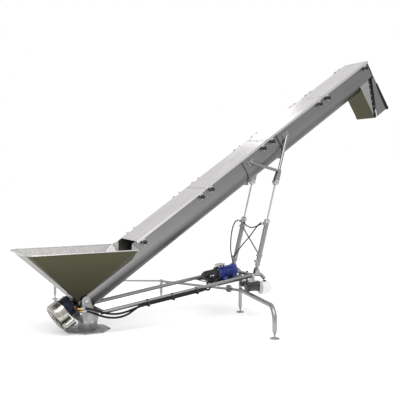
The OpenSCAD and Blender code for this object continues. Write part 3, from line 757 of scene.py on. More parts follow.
SUPPLY_ROUTE = [
    (-0.1463, -0.246, 0.2794), (-0.110, -0.250, 0.279), (-0.050, -0.264, 0.268),
    (0.030, -0.282, 0.240), (0.120, -0.293, 0.212), (0.220, -0.297, 0.200),
    (0.320, -0.290, 0.208), (0.420, -0.276, 0.230), (0.520, -0.262, 0.249),
    (0.700, -0.262, 0.2745), (0.900, -0.262, 0.3025), (1.100, -0.262, 0.3305),
    (1.230, -0.260, 0.3485), (1.300, -0.235, 0.356), (1.350, -0.190, 0.372),
    (1.385, -0.150, 0.405), (1.425, -0.130, 0.448), (1.459, -0.122, 0.470),
    (1.473, -0.103, 0.474), (1.473, -0.0792, 0.474)]
RETURN_ROUTE = [
    (-0.1268, -0.246, 0.2512), (-0.095, -0.251, 0.249), (-0.040, -0.272, 0.233),
    (0.040, -0.294, 0.198), (0.130, -0.305, 0.172), (0.230, -0.311, 0.165),
    (0.330, -0.309, 0.184), (0.420, -0.302, 0.228), (0.520, -0.286, 0.271),
    (0.700, -0.285, 0.2965), (0.900, -0.285, 0.3245), (1.100, -0.285, 0.3525),
    (1.240, -0.284, 0.371), (1.300, -0.276, 0.364), (1.345, -0.250, 0.353),
    (1.385, -0.205, 0.360), (1.430, -0.174, 0.392), (1.480, -0.150, 0.440),
    (1.502, -0.126, 0.474), (1.5025, -0.102, 0.478), (1.5025, -0.0792, 0.478)]
LIFT_ROUTE = [
    (1.926, 0.130, 0.5025), (1.925, 0.131, 0.530), (1.905, 0.148, 0.610),
    (1.900, 0.180, 0.740), (1.925, 0.214, 0.880), (1.965, 0.240, 1.000),
    (2.010, 0.250, 1.070), (2.045, 0.250, 1.085), (2.075, 0.250, 1.077)]
PACK_ROUTE = [
    (1.920, -0.1085, 0.352), (1.920, -0.130, 0.348), (1.912, -0.180, 0.322),
    (1.908, -0.235, 0.306), (1.908, -0.290, 0.316), (1.916, -0.320, 0.350),
    (1.921, -0.340, 0.372)]
UPPER_CROSS_ROUTE = [
    (2.0955, -0.2342, 1.072), (2.094, -0.205, 1.070), (2.088, -0.120, 1.042),
    (2.085, -0.040, 1.018), (2.084, 0.040, 1.012), (2.087, 0.120, 1.030),
    (2.094, 0.205, 1.068), (2.0955, 0.2336, 1.072)]
LOWER_CROSS_ROUTE = [
    (2.075, -0.250, 1.077), (2.048, -0.250, 1.084), (2.020, -0.232, 1.058),
    (2.005, -0.180, 1.000), (1.995, -0.100, 0.920), (1.985, 0.000, 0.840),
    (1.975, 0.080, 0.770), (1.966, 0.150, 0.700), (1.966, 0.200, 0.655),
    (1.981, 0.213, 0.640), (1.983, 0.233, 0.637)]


def ferrule(name, end, ahead, radius, body):
    """The crimped sleeve and nut on a hose end; ahead points along the hose."""
    bm = bmesh.new()
    nut = radius * 1.5
    turn_profile(bm, end, ahead, [(-0.006, 0), (-0.006, nut), (0.008, nut), (0.008, 0)], 6)
    crimp = radius + 0.0016
    ribs = [(0.007, 0), (0.007, crimp)]
    for k in range(4):
        start = 0.010 + k * 0.006
        ribs += [(start, crimp), (start + 0.001, crimp + 0.0012),
                 (start + 0.004, crimp + 0.0012), (start + 0.005, crimp)]
    turn_profile(bm, end, ahead, [*ribs, (0.036, crimp), (0.037, 0)], 20)
    return piece_from(bm, name, "zinc", body, 30)


class AUGER_OT_hoses(bpy.types.Operator):
    """Drive and lift hoses with their crimped ends"""

    bl_idname = "auger.hoses"
    bl_label = "Hoses"

    def execute(self, context):
        sizes = context.scene.auger_sizes
        drive, lift = sizes.hose / 2, sizes.lift_hose / 2
        bend = ((-0.11, -0.25, 0.27), (0.24, -0.30, 0.19))
        reach = ((1.91, 0.14, 0.58), (1.98, 0.25, 1.02))
        self.hose("supply_hose", SUPPLY_ROUTE, drive, "conveyor", "frame", bend)
        self.hose("return_hose", RETURN_ROUTE, drive, "conveyor", "frame", bend)
        self.hose("lift_hose", LIFT_ROUTE, lift, "frame", "barrels", reach)
        self.hose("pack_hose", PACK_ROUTE, lift, "frame", "frame")
        upper = self.hose("crossover_hoses", UPPER_CROSS_ROUTE, lift, "barrels", "barrels",
                          name="upper_crossover")
        lower = self.hose("crossover_hoses", LOWER_CROSS_ROUTE, lift, "barrels", "barrels",
                          name="lower_crossover")
        for piece in (upper, lower):
            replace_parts(piece, "crossover_hoses")
        return {"FINISHED"}

    def hose(self, node, points, radius, first, last, bend=None, name=None):
        name = name or node
        route = smooth_route(points)
        piece = tube(f"{name}_cover", route, radius, "hose_rubber", None)
        if bend:
            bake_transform(piece)
        else:
            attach(piece, first)
        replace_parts(piece, node)
        ends = [ferrule(f"{name}_start", route[0], route[1] - route[0], radius, first),
                ferrule(f"{name}_end", route[-1], route[-2] - route[-1], radius, last)]
        return piece


# ---- finishes on the CAD nodes ----


class AUGER_OT_finishes(bpy.types.Operator):
    """The record's finishes on every CAD node"""

    bl_idname = "auger.finishes"
    bl_label = "Finishes"

    def execute(self, context):
        for name, node in NODES.items():
            node.data.materials.clear()
            node.data.materials.append(FINISHES[SLOTS[name]])
        return {"FINISHED"}


# ---- knobs and lever ----


class AUGER_OT_knobs(bpy.types.Operator):
    """Eight star knobs that clamp the lids, each on a steel stud"""

    bl_idname = "auger.knobs"
    bl_label = "Lid knobs"

    def execute(self, context):
        radius = context.scene.auger_sizes.knob
        for k in range(1, 9):
            low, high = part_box(f"knob_{k}")
            centre = Vector(((low.x + high.x) / 2, high.y, (low.z + high.z) / 2))
            grip, stud = bmesh.new(), bmesh.new()
            self.star(grip, centre - Y * 0.036, radius, 0.019)
            turn_profile(grip, centre - Y * 0.0545, -Y,
                         [(0, 0), (0, 0.0135), (0.004, 0.0125), (0.0062, 0.009), (0.0066, 0)], 24)
            turn_profile(grip, centre - Y * 0.030, -Y,
                         [(0, 0), (0, 0.0125), (0.008, 0.014), (0.008, 0)], 24)
            piece = piece_from(grip, f"knob_{k}_grip", "knob_plastic", f"knob_{k}_body")
            soften(piece, 0.0025, 3)
            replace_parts(piece, f"knob_{k}")
            turn_profile(stud, centre, -Y, [(0, 0), (0.0005, 0.0055), (0.034, 0.006), (0.034, 0)], 20)
            stud_piece = piece_from(stud, f"knob_{k}_stud", "zinc", f"knob_{k}_body")
            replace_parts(stud_piece, f"knob_{k}")
        return {"FINISHED"}

    def star(self, bm, centre, radius, depth):
        """Adds a five-lobed star, depth deep toward the near side."""
        outline = []
        for k in range(60):
            a = math.tau * k / 60
            r = radius * (0.84 + 0.16 * math.cos(5 * a))
            outline.append((r * math.cos(a), r * math.sin(a)))
        add_prism(bm, outline, centre, Z, X, -depth)


class AUGER_OT_valve(bpy.types.Operator):
    """Valve lever with its ball, spool caps and plugs"""

    bl_idname = "auger.valve"
    bl_label = "Valve lever"

    def execute(self, context):
        pivot = Vector(joint("valve_lever_tilt")["pos_m"])
        rod, ball = bmesh.new(), bmesh.new()
        turn_profile(rod, pivot + X * 0.0075, -X, [(0, 0.0041), (0, 0.010), (0.015, 0.010),
                                                   (0.015, 0.0041), (0, 0.0041)], 28)
        turn_profile(rod, pivot + Z * 0.0085, Z,
                     [(0, 0), (0, 0.0058), (0.014, 0.0050), (0.080, 0.0042), (0.086, 0)], 20)
        piece = piece_from(rod, "valve_lever_rod", "zinc", "lever")
        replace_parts(piece, "valve_lever")
        half_turn = [math.pi * k / 14 for k in range(15)]
        turn_profile(ball, pivot + Z * 0.096, Z,
                     [(-0.013 * math.cos(a), 0.013 * math.sin(a)) for a in half_turn], 28)
        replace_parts(piece_from(ball, "valve_lever_ball", "knob_plastic", "lever"), "valve_lever")
        caps = bmesh.new()
        for x in (1.905, 1.930):
            turn_profile(caps, Vector((x, -0.078, 0.380)), Z,
                         [(0, 0), (0, 0.010), (0.014, 0.010), (0.017, 0.0075), (0.018, 0)], 24)
        piece_from(caps, "valve_spool_caps", "zinc", "frame")
        spots = [(Vector((x, -0.108, z)), -Y)
                 for x, z in ((1.952, 0.344), (1.975, 0.344), (1.952, 0.366),
                              (1.975, 0.366))]
        bolts("valve_plugs", spots, 0.0055, "frame")
        return {"FINISHED"}


# ---- feet ----


class AUGER_OT_feet(bpy.types.Operator):
    """Four levelling feet: round plate, lock nut and threaded stem"""

    bl_idname = "auger.feet"
    bl_label = "Levelling feet"

    def execute(self, context):
        pitch = context.scene.auger_sizes.thread
        for side in ("near", "far", "centre", "side"):
            node, body = f"{side}_foot_screw", f"{side}_levelling_foot"
            low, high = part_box(node)
            foot = Vector(((low.x + high.x) / 2, (low.y + high.y) / 2, 0))
            plate = (high.x - low.x) / 2
            bm = bmesh.new()
            turn_profile(bm, foot, Z, [
                (0, 0), (0, plate - 0.001), (0.0015, plate), (0.006, plate), (0.008, plate - 0.003),
                (0.009, 0.030), (0.010, 0.0215), (0.0145, 0.020), (0.017, 0.016), (0.018, 0.0085),
                (high.z, 0.0083), (high.z, 0)], 48)
            turn_profile(bm, foot + Z * 0.050, Z,
                         [(0, 0), (0, 0.0145), (0.0012, 0.016), (0.0108, 0.016),
                          (0.012, 0.0145), (0.012, 0)], 6)
            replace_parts(piece_from(bm, f"{side}_foot", "dark_steel", body, sharp=30), node)
            turns = int((high.z - 0.024) / pitch)
            helix = [foot + Vector((0.0083 * math.cos(a), 0.0083 * math.sin(a),
                                    0.022 + pitch * a / math.tau))
                     for a in (math.tau * k / 14 for k in range(turns * 14 + 1))]
            tube(f"{side}_foot_thread", helix, 0.0009, "zinc", body, 5)
        return {"FINISHED"}


# ---- power packs ----


class AUGER_OT_pump_motor(bpy.types.Operator):
    """Finned electric motor with its terminal box, fan cowl and feet"""

    bl_idname = "auger.pump_motor"
    bl_label = "Pump motor"

    axis_w = 0.057

    def execute(self, context):
        bm = bmesh.new()
        turn_profile(bm, on_tubes(1.492, 0, self.axis_w), TUBE_ALONG, [
            (0, 0), (0, 0.068), (0.003, 0.072), (0.016, 0.074), (0.022, 0.072), (0.024, 0.066),
            (0.206, 0.066), (0.208, 0.0735), (0.212, 0.074), (0.236, 0.074), (0.247, 0.068),
            (0.252, 0.056), (0.253, 0.050), (0.253, 0)], 64)
        for u in (1.530, 1.660):
            add_block(bm, (u, -0.085, -0.0213), (u + 0.04, 0.085, -0.0103), on_tubes)
            add_block(bm, (u + 0.006, -0.060, -0.0110), (u + 0.034, 0.060, 0.030), on_tubes)
        add_block(bm, (1.506, -0.030, 0.112), (1.576, 0.030, 0.126), on_tubes)
        body = piece_from(bm, "pump_motor_body", "blue_paint", "frame", sharp=30)
        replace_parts(soften(body, 0.0015), "drive_pump_motor")
        self.fins(context.scene.auger_sizes.fins)
        box = bmesh.new()
        add_block(box, (1.500, -0.048, 0.124), (1.582, 0.048, 0.153), on_tubes)
        add_block(box, (1.497, -0.050, 0.1535), (1.585, 0.050, 0.161), on_tubes)
        lid = piece_from(box, "terminal_box", "aluminium_block", "frame", 30)
        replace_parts(soften(lid, 0.003, 3), "drive_pump_motor")
        gland = bmesh.new()
        for u in (1.522, 1.560):
            turn_profile(gland, on_tubes(u, -0.047, 0.138), -Y, [
                (0, 0), (0, 0.0105), (0.006, 0.0105), (0.006, 0.009), (0.016, 0.008), (0.019, 0.005),
                (0.019, 0)], 20)
        piece_from(gland, "cable_glands", "black_plastic", "frame")
        screws = [(on_tubes(u, y, 0.161), TUBE_OFF) for u in (1.503, 1.579) for y in (-0.044, 0.044)]
        ends = [(p, -TUBE_ALONG) for p in ring_points(on_tubes(1.494, 0, self.axis_w), TUBE_ALONG,
                                                      0.062, 8, math.radians(22.5))]
        feet = [(on_tubes(u + 0.02, y, -0.0103), TUBE_OFF)
                for u in (1.530, 1.660) for y in (-0.073, 0.073)]
        bolts("pump_motor_screws", screws + ends + feet, 0.0045, "frame")
        slots = bmesh.new()
        for centre in ring_points(on_tubes(1.7447, 0, self.axis_w), TUBE_ALONG, 0.032, 16):
            out = (centre - on_tubes(1.7447, 0, self.axis_w)).normalized()
            across = TUBE_ALONG.cross(out)
            add_prism(slots, [(-0.016, -0.0018), (0.016, -0.0032), (0.016, 0.0032), (-0.016, 0.0018)],
                      centre, out, across, 0.0009)
        piece_from(slots, "fan_cowl_slots", "black_plastic", "frame")
        return {"FINISHED"}

    def fins(self, count):
        """Fins round the barrel, left out where the feet and the terminal box stand."""
        centre = on_tubes(1.602, 0, self.axis_w)
        spots = []
        for point in ring_points(centre, TUBE_ALONG, 0.0665, count):
            out = (point - centre).normalized()
            if -0.80 < out.dot(TUBE_OFF) < 0.86:
                spots.append((point, out, TUBE_ALONG))
        piece = repeat("pump_motor_fins", fin, spots, 1.0, "blue_paint", "frame")
        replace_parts(piece, "drive_pump_motor")


class AUGER_OT_lift_pack(bpy.types.Operator):
    """Small lift pack: motor can, oil tank and the plugs in its manifold"""

    bl_idname = "auger.lift_pack"
    bl_label = "Lift pack"

    def execute(self, context):
        low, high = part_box("lift_pack_motor")
        centre = (low + high) / 2
        start = Vector((low.x, centre.y, centre.z))
        bm = bmesh.new()
        turn_profile(bm, start, X, [
            (0, 0), (0, 0.020), (0.002, 0.044), (0.006, 0.051), (0.014, 0.054), (0.026, 0.055),
            (0.029, 0.052), (0.124, 0.052), (0.127, 0.055), (0.155, 0.055), (0.155, 0)], 56)
        for x in (0.020, 0.135):
            turn_profile(bm, start + X * x, X,
                         [(0, 0.04), (0, 0.0555), (0.004, 0.0555), (0.004, 0.04)], 56)
        motor = piece_from(bm, "lift_motor_can", "black_paint", "frame", sharp=30)
        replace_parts(motor, "lift_pack_motor")
        studs = bmesh.new()
        for x in (0.045, 0.075):
            turn_profile(studs, start + X * x + Z * 0.050, Z, [
                (0, 0), (0, 0.008), (0.004, 0.008), (0.005, 0.0055), (0.010, 0.0055), (0.010, 0.003),
                (0.020, 0.003), (0.020, 0)], 16)
        piece_from(studs, "lift_motor_terminals", "brass", "frame")
        self.tank()
        spots = [(Vector((1.921, -0.456, z)), -Y) for z in (0.342, 0.374, 0.406)]
        spots += [(Vector((1.921, y, 0.430)), Z) for y in (-0.430, -0.400, -0.372)]
        spots += [(Vector((1.906, y, 0.412)), -X) for y in (-0.318, -0.240)]
        bolts("manifold_plugs", spots, 0.0065, "frame")
        return {"FINISHED"}

    def tank(self):
        low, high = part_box("lift_tank")
        centre = (low + high) / 2
        start = Vector((low.x, centre.y, centre.z))
        bm = bmesh.new()
        profile = [(0, 0), (0, 0.072), (0.003, 0.074), (0.012, 0.074), (0.014, 0.0715)]
        for k in range(3):
            first = 0.030 + 0.026 * k
            profile += [(first, 0.0715), (first + 0.002, 0.0735), (first + 0.007, 0.0735),
                        (first + 0.009, 0.0715)]
        profile += [(0.100, 0.0715), (0.108, 0.068), (0.114, 0.058), (0.116, 0.045), (0.116, 0)]
        turn_profile(bm, start, X, profile, 64)
        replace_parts(piece_from(bm, "oil_tank", "white_plastic", "frame", sharp=30), "lift_tank")
        cap = bmesh.new()
        turn_profile(cap, start + X * 0.058 + Z * 0.070, Z, [
            (0, 0), (0, 0.019), (0.004, 0.020), (0.013, 0.020), (0.015, 0.018), (0.015, 0)], 18)
        turn_profile(cap, start + X * 0.117 - Z * 0.048, X, [
            (-0.004, 0), (-0.004, 0.011), (0.004, 0.011), (0.004, 0)], 6)
        piece_from(cap, "tank_cap", "black_plastic", "frame", sharp=20)


# ---- drive at the low end ----


class AUGER_OT_drive(bpy.types.Operator):
    """Gearbox drum, drive motor and brass fittings at the low end"""

    bl_idname = "auger.drive"
    bl_label = "Drive"

    def execute(self, context):
        drum = bmesh.new()
        turn_profile(drum, on_conveyor(-1.130, 0, -0.045), ALONG, [
            (0.004, 0), (0.004, 0.030), (0, 0.036), (0, 0.060), (0.004, 0.066), (0.004, 0.112),
            (0.002, 0.120), (0.005, 0.132), (0.014, 0.1415), (0.026, 0.145), (0.060, 0.145),
            (0.062, 0.1465), (0.072, 0.1465), (0.074, 0.145), (0.122, 0.145), (0.122, 0.152),
            (0.134, 0.152), (0.134, 0)], 96)
        turn_profile(drum, on_conveyor(-1.120, -0.172, -0.125), ALONG, [
            (0, 0), (0, 0.030), (0.004, 0.036), (0.012, 0.040), (0.040, 0.040), (0.042, 0.037),
            (0.078, 0.037), (0.080, 0.040), (0.117, 0.040), (0.117, 0)], 48)
        outline = [(-0.120, -0.020), (-0.205, -0.100), (-0.212, -0.140), (-0.180, -0.172),
                   (-0.100, -0.150)]
        add_prism(drum, outline, on_conveyor(-1.008, 0, 0), Y, OFF, 0.012)
        piece = piece_from(drum, "gearbox_drum", "drum_steel", "conveyor", sharp=30)
        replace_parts(soften(piece, 0.0012), "gearbox")
        motor = bmesh.new()
        ribs = [(0, 0), (0, 0.104)]
        for start in [0.006 + 0.018 * k for k in range(5)]:
            ribs += [(start, 0.104), (start + 0.001, 0.116), (start + 0.007, 0.116),
                     (start + 0.008, 0.104)]
        turn_profile(motor, on_conveyor(-0.996, 0, -0.030), ALONG,
                     ribs + [(0.106, 0.104), (0.106, 0)], 64)
        add_block(motor, (-0.922, -0.134, -0.088), (-0.891, -0.064, -0.022), on_conveyor)
        case = piece_from(motor, "drive_motor_case", "navy_paint", "conveyor", sharp=30)
        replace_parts(soften(case, 0.003), "drive_motor")
        self.fittings()
        back = on_conveyor(-1.126, 0, -0.045)
        spots = [(p, -ALONG) for p in ring_points(back, ALONG, 0.092, 10)]
        rim = on_conveyor(-1.008, 0, -0.045)
        spots += [(p, -ALONG) for p in ring_points(rim, ALONG, 0.1485, 16)]
        bolts("gearbox_bolts", spots, 0.0055, "conveyor")
        plate = on_conveyor(-0.864, 0, 0)
        spots = [(p, -ALONG)
                 for p in ring_points(plate, ALONG, 0.180, 12, math.pi * 0.55, math.pi * 0.9)]
        bolts("end_plate_bolts", spots, 0.0065, "conveyor")
        return {"FINISHED"}

    def fittings(self):
        bm = bmesh.new()
        for n in (-0.038, -0.072):
            turn_profile(bm, on_conveyor(-0.905, -0.134, n), -Y, [
                (0, 0), (0, 0.013), (0.010, 0.013), (0.012, 0.010), (0.036, 0.010), (0.036, 0.012),
                (0.092, 0.0105), (0.112, 0.0105)], 24)
            turn_profile(bm, on_conveyor(-0.905, -0.150, n), -Y, [
                (0, 0.009), (0, 0.0145), (0.018, 0.0145), (0.018, 0.009)], 6)
            half_turn = [math.pi * k / 10 for k in range(11)]
            elbow = on_conveyor(-0.905, -0.246, n)
            turn_profile(bm, elbow, Y, [(-0.0118 * math.cos(a), 0.0118 * math.sin(a))
                                        for a in half_turn], 24)
            turn_profile(bm, elbow, X, [(0, 0.0105), (0.014, 0.0105), (0.014, 0.0125), (0.026, 0.0125),
                                        (0.026, 0)], 24)
        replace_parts(piece_from(bm, "brass_elbows", "brass", "conveyor", sharp=30), "brass_fittings")


# ---- hopper rim and flap ----


class AUGER_OT_hopper_rim(bpy.types.Operator):
    """The rolled edge of the hopper and the stiffening lip of its end wall"""

    bl_idname = "auger.hopper_rim"
    bl_label = "Hopper rim"

    def execute(self, context):
        roll = context.scene.auger_sizes.rim
        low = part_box("hopper")[0]
        half = 0.355
        corner = 0.122
        left, level = low.x + 0.009, 0.8535
        end_x = 0.433
        route = [Vector((end_x, -half, level)), Vector((left + corner, -half, level))]
        for centre_y, start in ((-half + corner, -90), (half - corner, -180)):
            for k in range(1, 12):
                a = math.radians(start - 90 * k / 11)
                route.append(Vector((left + corner + corner * math.cos(a),
                                     centre_y + corner * math.sin(a), level)))
        route.append(Vector((end_x, half, level)))
        tube("hopper_rim_roll", route, roll, "hopper_steel", "conveyor", 14)
        for side, label in ((-1, "near"), (1, "far")):
            edge = [Vector((0.436, side * 0.345, 0.8575)), Vector((0.436, side * 0.200, 0.899))]
            tube(f"{label}_gusset_lip", edge, 0.005, "hopper_steel", "conveyor", 10)
        return {"FINISHED"}


class AUGER_OT_flap(bpy.types.Operator):
    """The rubber flap on the discharge hood, its clamp strip and the seals' screws"""

    bl_idname = "auger.flap"
    bl_label = "Discharge flap"

    def execute(self, context):
        columns, rows = 24, 18
        bm = bmesh.new()
        grid = []
        for j in range(rows + 1):
            down = j / rows
            line = []
            for i in range(columns + 1):
                y = -0.179 + 0.358 * i / columns
                belly = 0.010 * down ** 2 * math.cos(math.pi * (i / columns - 0.5))
                wave = 0.0022 * down * math.sin(math.tau * 2.5 * i / columns + 0.6)
                line.append(bm.verts.new(on_conveyor(3.9035 + belly + wave, y, -0.197 - 0.371 * down)))
            grid.append(line)
        for j in range(rows):
            for i in range(columns):
                bm.faces.new([grid[j][i], grid[j][i + 1], grid[j + 1][i + 1], grid[j + 1][i]])
        piece = piece_from(bm, "rubber_flap", "seal_rubber", "hood_door")
        wall = piece.modifiers.new("sheet", "SOLIDIFY")
        wall.thickness = 0.006
        wall.offset = 0
        soften(piece, 0.0012)
        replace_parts(piece, "hood_flap")
        skirts = bmesh.new()
        outline = [(3.884, -0.198), (3.903, -0.198), (3.903, -0.569), (3.862, -0.569)]
        for y in (-0.183, 0.1793):
            add_prism(skirts, outline, on_conveyor(0, y, 0), ALONG, OFF, 0.0037)
        skirts = piece_from(skirts, "rubber_skirts", "seal_rubber", "hood_door")
        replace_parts(soften(skirts, 0.0008), "hood_flap")
        strip = bmesh.new()
        add_block(strip, (3.9065, -0.180, -0.222), (3.9115, 0.180, -0.192), on_conveyor)
        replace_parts(soften(piece_from(strip, "flap_clamp_strip", "tube_steel", "hood_door"), 0.001),
                    "hood_flap")
        spots = [(on_conveyor(3.9115, -0.156 + 0.052 * k, -0.207), ALONG) for k in range(7)]
        bolts("flap_bolts", spots, 0.0055, "hood_door")
        spots = []
        for side in SIDES:
            for k in range(6):
                t = (k + 0.5) / 6
                s, n = 3.826 - 0.145 * t, -0.115 - 0.400 * t
                spots.append((on_conveyor(s - 0.022, side * 0.172, n), Y * side))
        repeat("seal_rivets", rivet, spots, 0.006, "zinc", "conveyor")
        return {"FINISHED"}


# ---- lift cylinders ----


class AUGER_OT_cylinders(bpy.types.Operator):
    """Gland nuts, wipers, base collars, pin keepers and clamp bolts of the lift cylinders"""

    bl_idname = "auger.cylinders"
    bl_label = "Lift cylinders"

    def execute(self, context):
        for side, label in ((-1, "near"), (1, "far")):
            nut = bmesh.new()
            turn_profile(nut, on_cylinder(side, 0, 0, 0.552), CYLINDER_ALONG, [
                (0, 0.027), (0, 0.0335), (0.003, 0.035), (0.036, 0.035), (0.040, 0.033),
                (0.0435, 0.024), (0.0435, 0.0128)], 12)
            piece_from(nut, f"{label}_gland_nut", "zinc", "barrels", 25)
            seal = bmesh.new()
            turn_profile(seal, on_cylinder(side, 0, 0, 0.594), CYLINDER_ALONG, [
                (0, 0.0128), (0, 0.019), (0.004, 0.0175), (0.006, 0.0135), (0.006, 0.0128)], 32)
            piece_from(seal, f"{label}_rod_wiper", "seal_rubber", "barrels")
            caps = bmesh.new()
            turn_profile(caps, on_cylinder(side, 0, 0, 0.040), CYLINDER_ALONG, [
                (0, 0.020), (0, 0.0285), (0.008, 0.0295), (0.022, 0.0295), (0.026, 0.0275)], 40)
            piece_from(caps, f"{label}_base_collar", "tube_steel", "barrels")
        for side, body in zip(SIDES, ("near_piston", "far_piston")):
            spots = [(self.rod_eye(side) + Y * out * 0.0315, Y * out) for out in SIDES]
            bolts(f"{body}_pin_heads", spots, 0.010, body)
        clamp = [(on_cylinder(1, -0.034, y, 0.480), -CYLINDER_OFF) for y in (-0.016, 0.016)]
        clamp += [(on_cylinder(-1, -0.034, y, 0.160), -CYLINDER_OFF) for y in (-0.016, 0.016)]
        bolts("brace_clamp_bolts", clamp, 0.0055, "barrels")
        pins = [(Vector((CYLINDER_PIN.x, side * LINE_Y + y, CYLINDER_PIN.z)), Y if y > 0 else -Y)
                for side in SIDES for y in (-0.034, 0.034)]
        bolts("lower_pin_heads", pins, 0.010, "frame")
        return {"FINISHED"}

    def rod_eye(self, side):
        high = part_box("near_rod")[1]
        length = (high.z - 0.030 - CYLINDER_PIN.z) / CYLINDER_ALONG.z
        return on_cylinder(side, 0, 0, length)


# ---- bolts, rivets and welds ----


class AUGER_OT_fasteners(bpy.types.Operator):
    """Bolts and rivets on the trough, lids, frame and pedestal"""

    bl_idname = "auger.fasteners"
    bl_label = "Fasteners"

    def execute(self, context):
        self.trough()
        self.lids()
        self.frame()
        return {"FINISHED"}

    def trough(self):
        spots = []
        for s, way in ((1.584, -ALONG), (2.176, ALONG)):
            ring = ring_points(on_conveyor(s, 0, 0), ALONG, 0.1985, 28)
            spots += [(p, way) for p in ring if (p - on_conveyor(s, 0, 0)).dot(OFF) < 0.02]
            spots += [(on_conveyor(s, side * 0.1985, n), way) for side in SIDES for n in (0.055, 0.105)]
        for s in LUG_S:
            spots += [(on_conveyor(s + ds, side * 0.197, n), Y * side) for side in SIDES
                      for ds in (-0.034, 0.034) for n in (0.013, 0.053)]
        bolts("trough_bolts", spots, 0.0052, "conveyor")
        pivot = Vector(joint("conveyor_tilt")["pos_m"])
        nuts = [(pivot + Y * side * 0.2365, Y * side) for side in SIDES]
        bolts("pivot_nuts", nuts, 0.0145, "conveyor")
        spots = [(on_conveyor(LID_EDGES[0] + 0.25 + 0.5 * k, side * 0.206, 0.1362), -OFF)
                 for k in range(8) for side in SIDES]
        repeat("flange_rivets", rivet, spots, 0.0055, "zinc", "conveyor")

    def lids(self):
        for k in range(4):
            first, last = LID_EDGES[k], LID_EDGES[k + 1]
            spots = []
            for s in (first + 0.075, last - 0.075):
                spots += [(on_conveyor(s + ds, -0.221, 0.124), -Y) for ds in (-0.012, 0.012)]
            for s in (first + 0.15, last - 0.15):
                spots += [(on_conveyor(s + ds, 0.197, 0.1433), OFF) for ds in (-0.02, 0.02)]
            repeat(f"lid_{k + 1}_rivets", rivet, spots, 0.0042,
                   "zinc", f"lid_{k + 1}_body")
            self.lid_folds(k + 1, first + 0.002, last - 0.002)

    def lid_folds(self, number, first, last):
        """A narrow pressed rib along each end of a lid."""
        bm = bmesh.new()
        for s in (first + 0.010, last - 0.024):
            outline = [(0, 0), (0.003, 0.0022), (0.011, 0.0022), (0.014, 0)]
            add_prism(bm, outline, on_conveyor(s, -0.215, 0.1431), ALONG, OFF, -0.400)
        piece_from(bm, f"lid_{number}_ribs", "lid_steel", f"lid_{number}_body")

    def frame(self):
        spots = [(on_tubes(u + 0.008, -0.276, 0.0), TUBE_OFF) for u in (0.45, 0.75, 1.05)]
        spots += [(on_tubes(u, side * 0.225, -0.0095), TUBE_OFF)
                  for u in (1.35, 1.77) for side in SIDES]
        bolts("tray_and_clip_bolts", spots, 0.0062, "frame")
        spots = [(Vector((x, side * 0.229, z)), Y * side) for side in SIDES
                 for x, z in ((-0.095, 0.135), (-0.020, 0.135))]
        bolts("pedestal_bolts", spots, 0.0080, "frame")
        spots = []
        for u, radius, count in ((1.478, 0.0695, 8), (1.330, 0.051, 6)):
            ring = ring_points(on_tubes(u, 0, PUMP_OFF), TUBE_ALONG, radius, count)
            spots += [(point, -TUBE_ALONG) for point in ring]
        bolts("pump_bolts", spots, 0.0055, "frame")


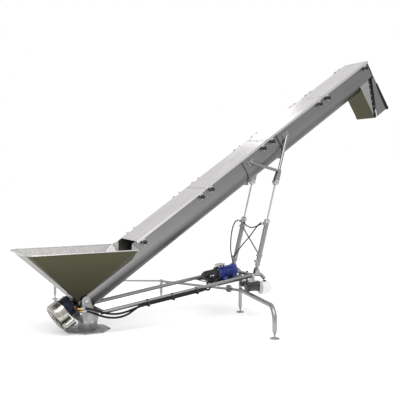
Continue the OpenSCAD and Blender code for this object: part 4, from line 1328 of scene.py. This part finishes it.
class AUGER_OT_welds(bpy.types.Operator):
    """Weld beads where the frame's tubes and plates meet"""

    bl_idname = "auger.welds"
    bl_label = "Weld beads"

    def execute(self, context):
        routes = [([Vector((x * 0.075, y * 0.075, 0.012))
                    for x, y in ((-1, -1), (1, -1), (1, 1), (-1, 1))], True)]
        for side in SIDES:
            inner = side * 0.214
            routes.append(([Vector((-0.108, inner, 0.1265)), Vector((-0.004, inner, 0.1265))], False))
            bar_end = Vector((0.090, side * 0.2295, tube_level(0.090)))
            routes.append((ring_points(bar_end, Y, 0.0213, 20), True))
            bar_end = Vector((MAST_X, side * 0.2285, tube_level(MAST_X)))
            routes.append((ring_points(bar_end, Y, 0.0213, 20), True))
            for x in (1.950, 2.034):
                routes.append(([Vector((x, side * LINE_Y + 0.015, 0.500)),
                                Vector((x, side * LINE_Y - 0.015, 0.500))], False))
        for foot, level, radius in (((1.513, -1.290), 0.2688, 0.0243), ((1.500, 1.290), 0.263, 0.0153)):
            arm = Vector((foot[0] - MAST_X, foot[1], 0)).normalized()
            collar = Vector((MAST_X, 0, level)) + arm * 0.024
            routes.append((ring_points(collar, arm, radius, 24), True))
        weld("frame_welds", routes, "frame")
        routes = []
        for s in LUG_S:
            for side in SIDES:
                base = on_conveyor(s, side * 0.198, 0.030 if s < 2 else 0.018)
                routes.append((ring_points(base, Y, 0.0175, 16), True))
        weld("conveyor_welds", routes, "conveyor")
        return {"FINISHED"}


# ---- panel, registration and order of making ----

OPERATORS = [AUGER_OT_stage, AUGER_OT_hoses, AUGER_OT_finishes, AUGER_OT_knobs, AUGER_OT_valve,
             AUGER_OT_feet, AUGER_OT_pump_motor, AUGER_OT_lift_pack, AUGER_OT_drive,
             AUGER_OT_hopper_rim, AUGER_OT_flap, AUGER_OT_cylinders, AUGER_OT_fasteners,
             AUGER_OT_welds]


class AUGER_PT_panel(bpy.types.Panel):
    bl_label = "Grain auger"
    bl_space_type = "VIEW_3D"
    bl_region_type = "UI"
    bl_category = "Auger"

    def draw(self, context):
        for settings in (context.scene.auger_sizes, context.scene.auger_colours):
            for key in settings.bl_rna.properties.keys():
                if key not in ("rna_type", "name"):
                    self.layout.prop(settings, key)
        for operator in OPERATORS:
            self.layout.operator(operator.bl_idname)


CLASSES = [AugerColours, AugerSizes, *OPERATORS, AUGER_PT_panel]


def register():
    for cls in CLASSES:
        bpy.utils.register_class(cls)
    bpy.types.Scene.auger_colours = bpy.props.PointerProperty(type=AugerColours)
    bpy.types.Scene.auger_sizes = bpy.props.PointerProperty(type=AugerSizes)


def unregister():
    del bpy.types.Scene.auger_sizes
    del bpy.types.Scene.auger_colours
    for cls in reversed(CLASSES):
        bpy.utils.unregister_class(cls)


def main():
    register()
    FINISHES.update(make_finishes(bpy.context.scene.auger_colours))
    TREES.update(repeat=repeat_tree(), tube=tube_tree(), bead=bead_tree())
    for operator in OPERATORS:
        group, name = operator.bl_idname.split(".")
        if getattr(getattr(bpy.ops, group), name)() != {"FINISHED"}:
            raise RuntimeError(f"{operator.bl_label} wasn't made")


if __name__ == "__main__":
    main()
